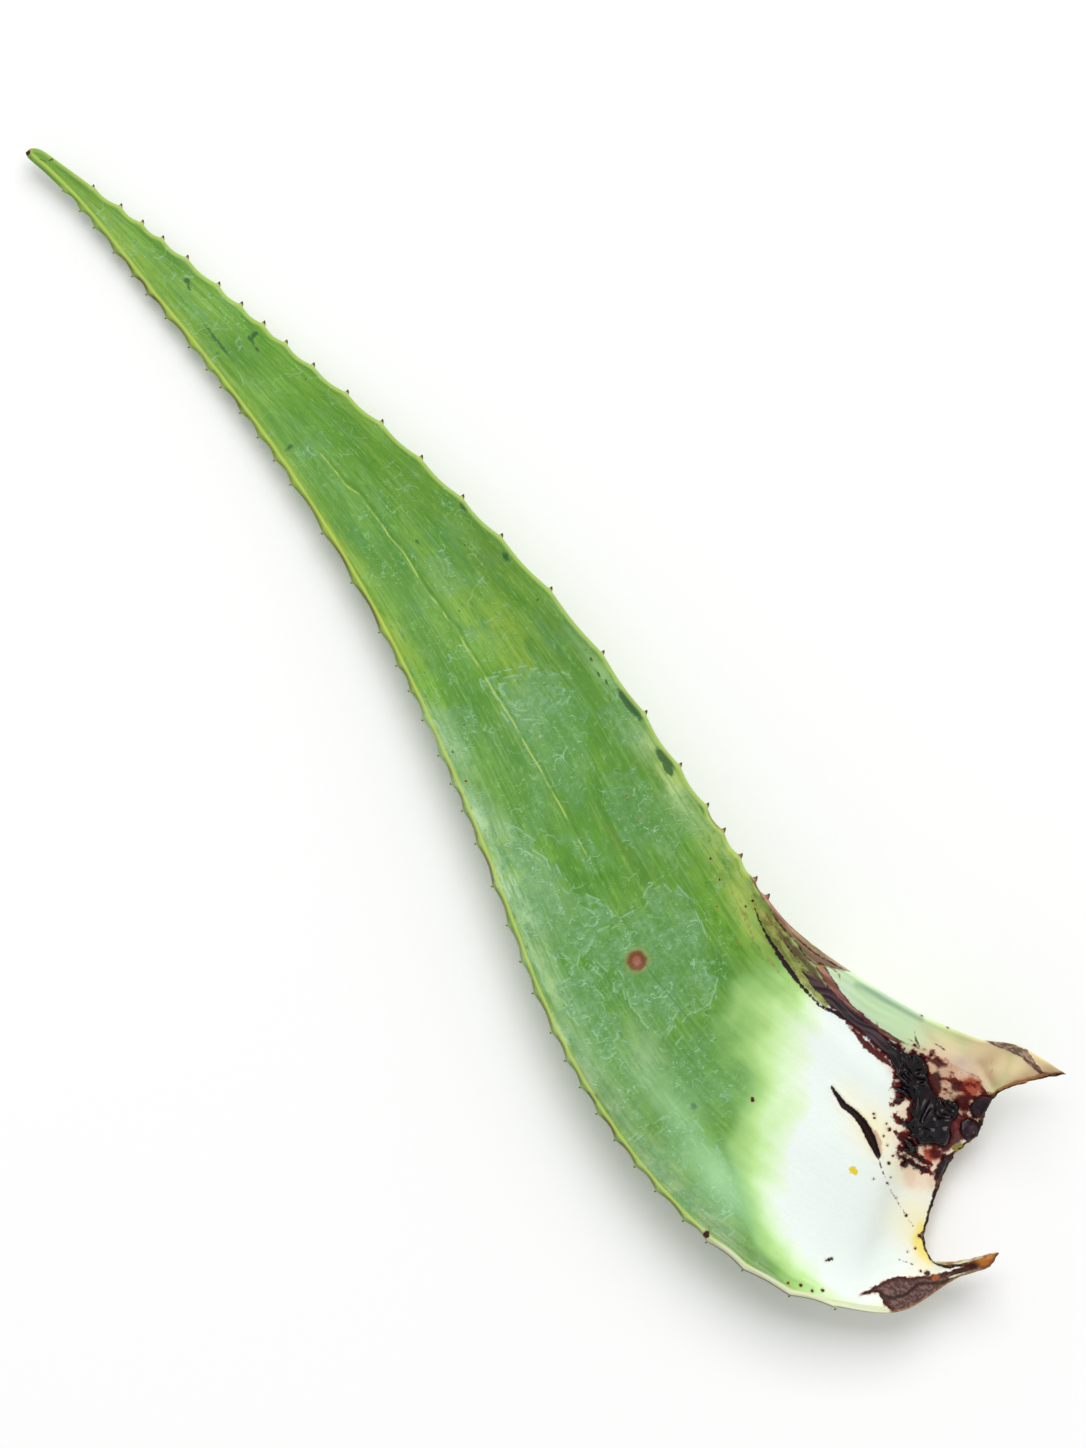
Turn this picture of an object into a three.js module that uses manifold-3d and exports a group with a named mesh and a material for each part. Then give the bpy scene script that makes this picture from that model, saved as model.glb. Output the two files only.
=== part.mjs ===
// A mature aloe vera leaf pulled off its stem, lying on its rounded back with its hollow face up.
// Millimetres, +Z up. The tip points along +Y. The origin lies on the resting surface, under the
// middle of the leaf's length and breadth.
import * as THREE from "three";
import Module from "manifold-3d";

// Stations from the torn end to the tip. left and right are points of the two margins, belly is
// the height of the back's lowest line, and flesh is the thickness that the middle adds to the rims.
const stations = [
  { left: [12, -255.9, 23], right: [68.8, -220.4, 40], belly: 4, flesh: 5 },
  { left: [-8.6, -254.6, 21], right: [62.4, -203.2, 38], belly: 2.6, flesh: 8 },
  { left: [-28.2, -251.5, 23], right: [52.4, -192, 36.5], belly: 1, flesh: 12 },
  { left: [-43.4, -237.4, 26], right: [43.9, -177.2, 35], belly: -0.5, flesh: 15 },
  { left: [-55.8, -220.2, 28], right: [37.8, -163.4, 33.8], belly: -1.2, flesh: 17 },
  { left: [-63, -201, 29], right: [32.8, -149.3, 32.5], belly: -1.4, flesh: 18 },
  { left: [-67.1, -181, 29.5], right: [28.4, -135.3, 31], belly: -1.1, flesh: 18.5 },
  { left: [-69, -158, 29.5], right: [25, -120, 29.7], belly: -0.4, flesh: 18.5 },
  { left: [-68.6, -137, 29], right: [24.7, -106, 28.6], belly: 0.3, flesh: 18 },
  { left: [-66, -113, 28], right: [26, -89, 27.6], belly: 0.8, flesh: 17.2 },
  { left: [-60, -85, 26.5], right: [27.7, -67, 26.4], belly: 1, flesh: 16.2 },
  { left: [-50.8, -55, 25], right: [29.3, -44, 25], belly: 0.9, flesh: 15.2 },
  { left: [-41.5, -24, 23.3], right: [31.2, -19, 23.3], belly: 0.5, flesh: 14 },
  { left: [-32.4, 11, 21.2], right: [31.4, 13, 21.2], belly: -0.2, flesh: 12.8 },
  { left: [-25.1, 45, 18.8], right: [29.1, 46, 18.8], belly: -0.8, flesh: 11.4 },
  { left: [-20, 79, 16.2], right: [24.8, 80, 16.2], belly: -0.9, flesh: 9.8 },
  { left: [-16.9, 112, 13.6], right: [19.3, 112, 13.5], belly: -0.4, flesh: 8 },
  { left: [-15.6, 141, 11.3], right: [12.8, 141, 11.2], belly: 0.3, flesh: 6.4 },
  { left: [-15.5, 167, 9.7], right: [7.5, 167, 9.5], belly: 1, flesh: 5 },
  { left: [-15.9, 191, 8.8], right: [2.8, 191, 8.6], belly: 1.8, flesh: 3.8 },
  { left: [-16, 213, 8.6], right: [-2.5, 213, 8.3], belly: 2.8, flesh: 2.8 },
  { left: [-16.4, 232, 9], right: [-7.6, 232, 8.7], belly: 4, flesh: 1.9 },
  { left: [-18.1, 247, 9.9], right: [-11.8, 247, 9.6], belly: 5.4, flesh: 1.2 },
  { left: [-19.7, 255.6, 10.5], right: [-14.4, 255.4, 10.3], belly: 6.7, flesh: 0.7 },
  { left: [-19.3, 258, 10.9], right: [-17, 258, 10.8], belly: 7.6, flesh: 0.4 },
];
const lastStation = stations.length - 1;
const toMiddle = { x: 1.36, y: -0.22 }; // brings the middle of the leaf's bounds over the origin

// The torn edge seen from above, from the lower horn round to the upper horn.
const tornEdge = [
  [12, -255.9], [1.6, -252.9], [-7.4, -246.3], [-5.6, -237.4], [2.6, -230.6], [12, -224.6],
  [19.4, -220.9], [25, -219.6], [31.8, -219.8], [38, -215.7], [45.5, -212.2], [56, -214.6],
  [68.8, -220.4],
];
const tornReach = 5.5; // stations over which the rows turn from the torn edge to straight rows
const tornSlant = 4; // how far the torn flesh leans back under the face
const tornDirection = [0.51, -0.86]; // the way out of the torn end

// The dry end of the lower horn widens into a small spoon.
const spoon = { station: 0.34, reach: 0.26, out: 2.6 };

const rimBase = { left: 1.1, right: 1 }; // half the thickness of the margins at the torn end
const rimBlade = { left: 2.3, right: 1.6 }; // and along the blade
const rimTip = { left: 1, right: 0.9 }; // and at the tip
const rimBaseEnd = 3;
const rimTipStart = 14;

const hollowPower = { base: 3.2, blade: 2.1 }; // how squarely the face is dished
const backPower = 2.4;
const backRoundness = 0.8;

// The crease where the flap of the sheath folds up: its place across the face at each station.
const creasePlace = [0.42, 0.5, 0.6, 0.69, 0.71, 0.73, 0.76, 0.8, 0.84, 0.87];
const creaseDepth = 3.4;
const creaseWidth = 0.1;
const hump = { station: 3, across: 0, height: 2.2, reach: 2.2, spread: 0.36 };
const gutter = { station: 4, across: -0.9, depth: 1.3, reach: 3.2, spread: 0.05 };

// Marginal teeth run from one height to another up the leaf. The gap to the next tooth, in mm,
// is read between the heights given in y, and a seeded draw spreads it.
const teeth = {
  left: {
    side: -1,
    from: -236,
    to: 240,
    seed: 11,
    spread: 0.25,
    size: 0.8,
    y: [-236, -205, -180, -130, -90, -40, 0, 30, 50, 70, 100, 130, 170, 200, 240],
    gap: [18, 17, 12, 11, 14, 13, 12, 9, 24, 22, 15, 10, 11, 10, 7],
  },
  right: {
    side: 1,
    from: -108,
    to: 238,
    seed: 5,
    spread: 0.12,
    size: 1,
    y: [-108, -80, -55, -20, 10, 50, 90, 125, 150, 180, 210, 240],
    gap: [8.5, 11, 24, 29, 30, 18, 18, 16, 9.5, 13, 9, 12],
  },
};
const tooth = { length: 2.4, halfWidth: 1.9, halfHeight: 1.2, root: 2.6, lean: 0.8, sides: 5 };
const scallop = { depth: 1.1, cusp: 0.45 };

const rowsPerStation = 5;
const columns = 16;

// The crust of dried sap runs down the crease and spreads at the torn edge. Each entry gives its
// middle and its half breadth across the face, and how high its crest stands.
const sapRun = [
  { across: 0.38, spread: 0.28, crest: 2.6 },
  { across: 0.43, spread: 0.22, crest: 3 },
  { across: 0.54, spread: 0.13, crest: 2.8 },
  { across: 0.665, spread: 0.06, crest: 2.2 },
  { across: 0.7, spread: 0.05, crest: 1.8 },
  { across: 0.73, spread: 0.04, crest: 1.5 },
  { across: 0.765, spread: 0.025, crest: 1.1 },
];
const sap = { rowsPerStation: 5, columns: 6, edge: 0.9, sunk: 2, overhang: 0.4, ragged: 0.22, seed: 29 };
const sapGap = 0.35; // left free between the sap and the leaf

const wasm = await Module();
wasm.setup();

function clamp(value, low, high) {
  return Math.min(high, Math.max(low, value));
}

function mix(from, to, share) {
  return from + (to - from) * share;
}

function ease(value) {
  const share = clamp(value, 0, 1);
  return share * share * (3 - 2 * share);
}

function bell(distance, spread) {
  return Math.exp(-((distance / spread) ** 2));
}

// A repeatable stream of numbers from 0 to 1.
function drawer(seed) {
  let state = seed;
  return () => {
    state = (state * 16807) % 2147483647;
    return state / 2147483647;
  };
}

// A smooth curve through evenly numbered values.
function through(values, place) {
  const last = values.length - 1;
  const index = clamp(Math.floor(place), 0, last - 1);
  const share = place - index;
  const at = (offset) => values[clamp(index + offset, 0, last)];
  const [a, b, c, d] = [at(-1), at(0), at(1), at(2)];
  const bend = (2 * a - 5 * b + 4 * c - d) * share + (3 * b - a - 3 * c + d) * share * share;
  return b + 0.5 * share * (c - a + bend);
}

// Straight stretches between values at uneven places.
function between(places, values, place) {
  const found = places.findIndex((limit) => limit >= place);
  const index = clamp(found, 1, places.length - 1);
  const share = (place - places[index - 1]) / (places[index] - places[index - 1]);
  return mix(values[index - 1], values[index], clamp(share, 0, 1));
}

function marginCurve(name, station) {
  const axis = (index) => through(stations.map((entry) => entry[name][index]), station);
  return new THREE.Vector3(axis(0), axis(1), axis(2));
}

// Outward and towards the tip, in plan, at a margin.
function marginDirections(name, side, station) {
  const step = 0.05;
  const ahead = marginCurve(name, Math.min(station + step, lastStation));
  const behind = marginCurve(name, Math.max(station - step, 0));
  const forward = ahead.sub(behind).setZ(0).normalize();
  const outward = new THREE.Vector3(forward.y * side, -forward.x * side, 0);
  return { forward, outward };
}

function stationAtHeight(name, y) {
  let low = 1;
  let high = lastStation;
  while (high - low > 1e-4) {
    const middle = (low + high) / 2;
    if (marginCurve(name, middle).y < y) low = middle;
    else high = middle;
  }
  return low;
}

// The stations of the teeth along one margin.
function toothStations(name) {
  const rule = teeth[name];
  const draw = drawer(rule.seed);
  const found = [];
  for (let y = rule.from; y < rule.to; ) {
    found.push(stationAtHeight(name, y));
    y += between(rule.y, rule.gap, y) * (1 + rule.spread * (2 * draw() - 1));
  }
  return found;
}

const toothPlaces = { left: toothStations("left"), right: toothStations("right") };

// The margin stands out a little at each tooth and draws in between two teeth.
function scallopAt(name, station) {
  const places = toothPlaces[name];
  const next = places.findIndex((place) => place > station);
  if (next < 1) return 0;
  const share = (station - places[next - 1]) / (places[next] - places[next - 1]);
  return scallop.depth * (scallop.cusp - Math.sin(Math.PI * share));
}

function marginPoint(name, station) {
  const { outward } = marginDirections(name, teeth[name].side, station);
  const widened = name === "left" ? spoon.out * bell(station - spoon.station, spoon.reach) : 0;
  return marginCurve(name, station).addScaledVector(outward, scallopAt(name, station) + widened);
}

function rimAt(name, station) {
  const opening = mix(rimBase[name], rimBlade[name], ease(station / rimBaseEnd));
  const closing = ease((station - rimTipStart) / (lastStation - rimTipStart));
  return mix(opening, rimTip[name], closing);
}

// Everything about one row of the leaf that doesn't change across it.
function rowAt(station) {
  const left = marginPoint("left", station);
  const right = marginPoint("right", station);
  const belly = through(stations.map((entry) => entry.belly), station);
  const flesh = through(stations.map((entry) => entry.flesh), station);
  const rims = { left: rimAt("left", station), right: rimAt("right", station) };
  const middle = belly + flesh + rims.left + rims.right;
  return { station, left, right, flesh, rims, dish: (left.z + right.z) / 2 - middle };
}

const tornRow = rowAt(0);

// The relief of the face near the torn end: crease, hump and the gutter inside the left lip.
function baseRelief(station, across) {
  const place = through(creasePlace, station);
  const fade = 1 - ease((station - 6) / 3.5);
  const crease = creaseDepth * fade * bell(across - place, creaseWidth);
  const swell = bell(station - hump.station, hump.reach) * bell(across - hump.across, hump.spread);
  const drain = bell(station - gutter.station, gutter.reach) *
    bell(across - gutter.across, gutter.spread);
  return hump.height * swell - crease - gutter.depth * drain;
}

// A point of the leaf's skin: across runs from -1 at the left margin to 1 at the right one.
function skinPoint(row, across, onBack) {
  const share = (across + 1) / 2;
  const rim = mix(row.rims.left, row.rims.right, share);
  const halfWidth = Math.hypot(row.right.x - row.left.x, row.right.y - row.left.y) / 2;
  const edge = Math.min(rim / halfWidth, 0.45);
  const past = clamp((Math.abs(across) - 1 + edge) / edge, 0, 1);
  const roundness = Math.sqrt(1 - past * past);
  const depth = Math.pow(1 - Math.pow(Math.abs(across), backPower), backRoundness);

  const point = row.left.clone().lerp(row.right, share);
  const pull = 1 - ease(row.station / tornReach);
  const place = ((across + 1) / 2) * (tornEdge.length - 1);
  for (const [axis, letter] of ["x", "y"].entries()) {
    const torn = through(tornEdge.map((entry) => entry[axis]), place);
    const straight = mix(tornRow.left[letter], tornRow.right[letter], share);
    const lean = onBack ? tornSlant * depth * tornDirection[axis] : 0;
    point[letter] += pull * (torn - straight - lean);
  }

  const squareness = mix(hollowPower.base, hollowPower.blade, ease((row.station - 4) / 6));
  point.z -= row.dish * (1 - Math.pow(Math.abs(across), squareness));
  if (onBack) point.z = Math.max(0, point.z - rim * (1 + roundness) - row.flesh * depth);
  else point.z += baseRelief(row.station, across) - rim * (1 - roundness);
  return point;
}

function acrossAt(column) {
  return Math.sin((column / columns - 0.5) * Math.PI);
}

// Collects shared vertices and triangles, and turns them into a closed body.
class Skin {
  constructor() {
    this.points = [];
    this.faces = [];
  }

  add(point) {
    this.points.push(point.x, point.y, point.z);
    return this.points.length / 3 - 1;
  }

  quad(a, b, c, d) {
    for (const face of [[a, b, c], [a, c, d]]) {
      if (new Set(face).size === 3) this.faces.push(...face);
    }
  }

  solid() {
    const vertProperties = new Float32Array(this.points);
    const triVerts = new Uint32Array(this.faces);
    return new wasm.Manifold(new wasm.Mesh({ numProp: 3, vertProperties, triVerts }));
  }
}

// One line of the grid: indices from the left margin to the right one, on the face or the back.
function layLine(skin, row, onBack, faceLine) {
  const line = [];
  for (let column = 0; column <= columns; column++) {
    const shared = onBack && (column === 0 || column === columns);
    line.push(shared ? faceLine[column] : skin.add(skinPoint(row, acrossAt(column), onBack)));
  }
  return line;
}

// The ragged line of flesh halfway down the torn end.
function layTornLine(skin, faceLine, backLine) {
  const draw = drawer(7);
  const line = [];
  for (let column = 0; column <= columns; column++) {
    if (column === 0 || column === columns) {
      line.push(faceLine[column]);
      continue;
    }
    const corner = (index) => new THREE.Vector3().fromArray(skin.points, 3 * index);
    const middle = corner(faceLine[column]).lerp(corner(backLine[column]), 0.4 + 0.2 * draw());
    const bulge = 1.4 * (draw() - 0.3) * acrossAt(columns - Math.abs(column - columns / 2));
    middle.x += bulge * tornDirection[0];
    middle.y += bulge * tornDirection[1];
    line.push(skin.add(middle));
  }
  return line;
}

function leafBlade() {
  const skin = new Skin();
  const faceLines = [];
  const backLines = [];
  for (let index = 0; index <= lastStation * rowsPerStation; index++) {
    const row = rowAt(index / rowsPerStation);
    faceLines.push(layLine(skin, row, false));
    backLines.push(layLine(skin, row, true, faceLines[index]));
  }
  for (let index = 1; index < faceLines.length; index++) {
    const [face, nextFace] = [faceLines[index - 1], faceLines[index]];
    const [back, nextBack] = [backLines[index - 1], backLines[index]];
    for (let column = 0; column < columns; column++) {
      skin.quad(face[column], face[column + 1], nextFace[column + 1], nextFace[column]);
      skin.quad(nextBack[column + 1], back[column + 1], back[column], nextBack[column]);
    }
  }
  const torn = layTornLine(skin, faceLines[0], backLines[0]);
  const end = [faceLines.at(-1), backLines.at(-1)];
  for (let column = 0; column < columns; column++) {
    skin.quad(torn[column], torn[column + 1], faceLines[0][column + 1], faceLines[0][column]);
    skin.quad(backLines[0][column], backLines[0][column + 1], torn[column + 1], torn[column]);
    skin.quad(end[0][column], end[0][column + 1], end[1][column + 1], end[1][column]);
  }
  return skin.solid();
}

// A tooth with its root sunk in the rim and its point leaning towards the tip.
function toothSolid(name, station, size) {
  const { forward, outward } = marginDirections(name, teeth[name].side, station);
  const foot = marginPoint(name, station);
  foot.z -= rimAt(name, station);
  const skin = new Skin();
  const ring = (out, wide) => Array.from({ length: tooth.sides }, (_, corner) => {
    const angle = (teeth[name].side * 2 * Math.PI * corner) / tooth.sides;
    const point = foot.clone().addScaledVector(outward, out * size);
    point.addScaledVector(forward, Math.cos(angle) * tooth.halfWidth * wide * size);
    point.z += Math.sin(angle) * tooth.halfHeight * wide * size;
    return point;
  });
  const leaning = (point, share) => point.addScaledVector(forward, tooth.lean * share * size);
  const root = ring(-tooth.root, 1).map((point) => skin.add(point));
  const waist = ring(0.45 * tooth.length, 0.55).map((point) => skin.add(leaning(point, 0.3)));
  const end = foot.clone().addScaledVector(outward, tooth.length * size);
  const tip = skin.add(leaning(end, 1));
  for (let corner = 0; corner < tooth.sides; corner++) {
    const next = (corner + 1) % tooth.sides;
    skin.quad(root[corner], root[next], waist[next], waist[corner]);
    skin.faces.push(waist[corner], waist[next], tip);
    if (corner > 0 && next > 0) skin.faces.push(root[0], root[next], root[corner]);
  }
  return skin.solid();
}

function toothSize(name, station) {
  return teeth[name].size * mix(0.75, 1, ease((lastStation - station) / 7));
}

function leafSolid() {
  let solid = leafBlade();
  for (const name of ["left", "right"]) {
    for (const station of toothPlaces[name]) {
      solid = solid.add(toothSolid(name, station, toothSize(name, station)));
    }
  }
  return solid;
}

// One line across the crust: its wrinkled top, or its underside sunk below the face.
function sapLine(skin, station, ragged, onTop, draw) {
  const run = (name) => through(sapRun.map((entry) => entry[name]), station);
  const row = rowAt(station);
  const overhang = station === 0 ? sap.overhang : 0;
  return Array.from({ length: sap.columns + 1 }, (_, column) => {
    const side = (2 * column) / sap.columns - 1;
    const across = run("across") + side * run("spread") * ragged[side < 0 ? 0 : 1];
    const point = skinPoint(row, across, false);
    const crest = run("crest") * (1 - side * side) * (0.55 + 0.9 * draw());
    point.z += onTop ? sapGap + sap.edge + crest : -sap.sunk;
    point.x += overhang * tornDirection[0];
    point.y += overhang * tornDirection[1];
    return skin.add(point);
  });
}

// The crust as a closed slab, before the leaf is cut away from it.
function sapSlab() {
  const draw = drawer(sap.seed);
  const skin = new Skin();
  const rows = [];
  for (let index = 0; index <= (sapRun.length - 1) * sap.rowsPerStation; index++) {
    const ragged = [1 + sap.ragged * (2 * draw() - 1), 1 + sap.ragged * (2 * draw() - 1)];
    const station = index / sap.rowsPerStation;
    const top = sapLine(skin, station, ragged, true, draw);
    const under = sapLine(skin, station, ragged, false, draw);
    rows.push([...top, ...under.reverse()]);
  }
  const around = rows[0].length;
  for (let index = 1; index < rows.length; index++) {
    for (let side = 0; side < around; side++) {
      const next = (side + 1) % around;
      skin.quad(rows[index - 1][side], rows[index - 1][next], rows[index][next], rows[index][side]);
    }
  }
  for (let side = 0; side < sap.columns; side++) {
    const [first, last] = [rows[0], rows.at(-1)];
    const across = around - 1 - side;
    skin.quad(first[across], first[across - 1], first[side + 1], first[side]);
    skin.quad(last[side], last[side + 1], last[across - 1], last[across]);
  }
  return skin.solid();
}

// The crust with the leaf and a narrow gap round it cut away.
function sapSolid(leaf) {
  let solid = sapSlab();
  for (const [out, up] of [[0, 0], [0, sapGap], [sapGap, 0], [sapGap, -2], [sapGap, -4]]) {
    const shift = [out * tornDirection[0], out * tornDirection[1], up];
    solid = solid.subtract(leaf.translate(shift));
  }
  return solid.decompose().sort((a, b) => b.volume() - a.volume())[0];
}

function geometryOf(solid) {
  const mesh = solid.getMesh();
  const geometry = new THREE.BufferGeometry();
  geometry.setAttribute("position", new THREE.BufferAttribute(mesh.vertProperties, 3));
  geometry.setIndex(new THREE.BufferAttribute(mesh.triVerts, 1));
  geometry.computeVertexNormals();
  return geometry;
}

function skinMaterial() {
  return new THREE.MeshStandardMaterial({ color: 0x74a454, roughness: 0.45, metalness: 0 });
}

function sapMaterial() {
  return new THREE.MeshStandardMaterial({ color: 0x23100f, roughness: 0.5, metalness: 0 });
}

function namedMesh(name, solid, material) {
  const mesh = new THREE.Mesh(geometryOf(solid), material);
  mesh.name = name;
  return mesh;
}

const leaf = leafSolid();
const aloeLeaf = new THREE.Group();
aloeLeaf.position.set(toMiddle.x, toMiddle.y, 0);
aloeLeaf.add(namedMesh("leaf", leaf, skinMaterial()));
aloeLeaf.add(namedMesh("dried_sap", sapSolid(leaf), sapMaterial()));

export default aloeLeaf;
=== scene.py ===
import math
import bpy
import numpy as np
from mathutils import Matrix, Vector, noise
from mathutils.bvhtree import BVHTree


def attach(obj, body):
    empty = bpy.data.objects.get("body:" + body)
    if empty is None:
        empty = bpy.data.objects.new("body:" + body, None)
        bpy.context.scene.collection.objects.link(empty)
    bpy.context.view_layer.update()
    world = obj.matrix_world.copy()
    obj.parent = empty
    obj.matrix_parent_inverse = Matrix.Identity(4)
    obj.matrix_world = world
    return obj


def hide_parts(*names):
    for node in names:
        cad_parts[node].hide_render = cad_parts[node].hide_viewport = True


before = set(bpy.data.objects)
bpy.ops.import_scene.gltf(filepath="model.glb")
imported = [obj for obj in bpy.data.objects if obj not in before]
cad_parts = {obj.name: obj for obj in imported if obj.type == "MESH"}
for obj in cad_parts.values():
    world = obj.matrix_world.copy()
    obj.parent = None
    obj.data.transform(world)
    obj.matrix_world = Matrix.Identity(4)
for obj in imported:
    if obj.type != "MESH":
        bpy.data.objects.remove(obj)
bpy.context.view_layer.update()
print("frame loaded")

metresPerMm = 0.001  # all lengths are in mm until meshPiece places them
toMiddle = np.array([1.36, -0.22, 0.0])  # mm, brings the middle of the leaf over the origin


def mix(a, b, share):
    return a + (b - a) * share


def ease(value):
    share = np.clip(value, 0, 1)
    return share * share * (3 - 2 * share)


def bell(distance, spread):
    return np.exp(-((distance / spread) ** 2))


def drawer(seed):  # a repeatable stream of numbers from 0 to 1
    state = [seed]

    def draw():
        state[0] = (state[0] * 16807) % 2147483647
        return state[0] / 2147483647

    return draw


def through(values, place):  # a smooth curve through evenly numbered values
    values = np.asarray(values, float)
    last = len(values) - 1
    index = np.clip(np.floor(place), 0, last - 1).astype(int)
    share = np.asarray(place, float) - index
    if values.ndim > 1:
        share = share[..., None]
    a, b, c, d = (values[np.clip(index + step, 0, last)] for step in (-1, 0, 1, 2))
    bend = (2 * a - 5 * b + 4 * c - d) * share + (3 * b - a - 3 * c + d) * share * share
    return b + 0.5 * share * (c - a + bend)


def nearLine(points, line):  # distance to a line of points, and how far along it, 0 to 1
    line = np.asarray(line, float)
    best = np.full(len(points), 1e9)
    along = np.zeros(len(points))
    for index in range(len(line) - 1):
        start, reach = line[index], line[index + 1] - line[index]
        share = np.clip(((points - start) @ reach) / (reach @ reach), 0, 1)
        gap = np.hypot(*(points - start - share[:, None] * reach).T)
        nearer = gap < best
        best[nearer] = gap[nearer]
        along[nearer] = (index + share[nearer]) / (len(line) - 1)
    return best, along


def nearPatch(points, outline):  # distance to an outline, negative inside it
    outline = np.asarray(outline, float)
    gap, _ = nearLine(points, np.vstack([outline, outline[:1]]))
    inside = np.zeros(len(points), bool)
    for (ax, ay), (bx, by) in zip(outline, np.roll(outline, -1, axis=0)):
        if ay == by:
            continue
        crosses = (ay > points[:, 1]) != (by > points[:, 1])
        inside ^= crosses & (points[:, 0] < ax + (points[:, 1] - ay) * (bx - ax) / (by - ay))
    return np.where(inside, -gap, gap)


def nearAny(points, outlines):
    return np.min([nearPatch(points, outline) for outline in outlines], axis=0)


def streak(points, line, halfWidths):  # distance to a tapered streak, negative inside it
    gap, along = nearLine(points, line)
    places = np.linspace(0, 1, len(halfWidths))
    return gap - np.interp(along, places, halfWidths)


def roughness(points, grain, seed=0.0):  # smooth noise, about -1 to 1, with lumps 1/grain apart
    return np.array([noise.noise(Vector((x * grain, y * grain, seed))) for x, y in points])


def layered(points, layers):  # noise of several sizes: height, grain and seed of each
    return sum(height * roughness(points, grain, seed) for height, grain, seed in layers)


def swell(distance, shape):  # a rise along a line: height, how far from the line, its reach
    height, away, reach = shape
    return height * bell(distance - away, reach)


def washes(points, spots):  # soft round patches: middle x, y, reach x, y, strength
    total = np.zeros(len(points))
    for x, y, reachX, reachY, strength in spots:
        away = ((points[:, 0] - x) / reachX) ** 2 + ((points[:, 1] - y) / reachY) ** 2
        total = np.maximum(total, strength * np.exp(-away))
    return total


blade = {
    "left": [
        (12, -255.9, 23), (-8.6, -254.6, 21), (-28.2, -251.5, 23), (-43.4, -237.4, 26),
        (-55.8, -220.2, 28), (-63, -201, 29), (-67.1, -181, 29.5), (-69, -158, 29.5),
        (-68.6, -137, 29), (-66, -113, 28), (-60, -85, 26.5), (-50.8, -55, 25),
        (-41.5, -24, 23.3), (-32.4, 11, 21.2), (-25.1, 45, 18.8), (-20, 79, 16.2),
        (-16.9, 112, 13.6), (-15.6, 141, 11.3), (-15.5, 167, 9.7), (-15.9, 191, 8.8),
        (-16, 213, 8.6), (-16.4, 232, 9), (-18.1, 247, 9.9), (-19.7, 255.6, 10.5),
        (-19.3, 258, 10.9),
    ],
    "right": [
        (68.8, -220.4, 40), (62.4, -203.2, 38), (52.4, -192, 36.5), (43.9, -177.2, 35),
        (37.8, -163.4, 33.8), (32.8, -149.3, 32.5), (28.4, -135.3, 31), (25, -120, 29.7),
        (24.7, -106, 28.6), (26, -89, 27.6), (27.7, -67, 26.4), (29.3, -44, 25),
        (31.2, -19, 23.3), (31.4, 13, 21.2), (29.1, 46, 18.8), (24.8, 80, 16.2),
        (19.3, 112, 13.5), (12.8, 141, 11.2), (7.5, 167, 9.5), (2.8, 191, 8.6),
        (-2.5, 213, 8.3), (-7.6, 232, 8.7), (-11.8, 247, 9.6), (-14.4, 255.4, 10.3),
        (-17, 258, 10.8),
    ],
    "belly": [
        4, 2.6, 1, -0.5, -1.2, -1.4, -1.1, -0.4, 0.3, 0.8, 1, 0.9, 0.5, -0.2, -0.8, -0.9,
        -0.4, 0.3, 1, 1.8, 2.8, 4, 5.4, 6.7, 7.6,
    ],
    "flesh": [
        5, 8, 12, 15, 17, 18, 18.5, 18.5, 18, 17.2, 16.2, 15.2, 14, 12.8, 11.4, 9.8,
        8, 6.4, 5, 3.8, 2.8, 1.9, 1.2, 0.7, 0.4,
    ],
    "tornEdge": [
        (12, -255.9), (1.6, -252.9), (-7.4, -246.3), (-5.6, -237.4), (2.6, -230.6),
        (12, -224.6), (19.4, -220.9), (25, -219.6), (31.8, -219.8), (38, -215.7),
        (45.5, -212.2), (56, -214.6), (68.8, -220.4),
    ],
    "tornReach": 5.5,
    "tornSlant": 4,
    "tornDirection": (0.51, -0.86),
    "rimBase": {"left": 1.1, "right": 1.0},
    "rimBlade": {"left": 2.3, "right": 1.6},
    "rimTip": {"left": 1.0, "right": 0.9},
    "creasePlace": [0.42, 0.5, 0.6, 0.69, 0.71, 0.73, 0.76, 0.8, 0.84, 0.87],
    "creaseDepth": 3.4,
    "creaseWidth": 0.1,
    "creaseFade": (6, 3.5),
    "spoon": (3.2, 0.34, 0.28),  # how much broader the lower horn gets, and at which station
    "hump": ((2.2, 3, 2.2), 0, 0.36),  # along the stations, then across
    "gutter": ((-1.3, 4, 3.2), -0.9, 0.05),
    "squareness": (3.2, 2.1),  # of the hollow, at the base and in the blade
    "roundness": (2.4, 0.8),  # of the back
    "denseRows": 25,  # rows for each of the first stations, where the leaf was torn
    "denseStations": 8,
    "rows": 17,
    "faceColumns": 150,
    "backColumns": 56,
    "evenShare": 0.35,  # the rest of the columns crowd towards the margins
    "tornLines": 7,
    "flowBreadth": 32,  # the streaks in the skin follow the leaf as if it were this broad
    "flowHeight": 0.4,
}
lastStation = len(blade["left"]) - 1
outSign = {"left": -1, "right": 1}
tornDirection = np.array([*blade["tornDirection"], 0.0])

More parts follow.
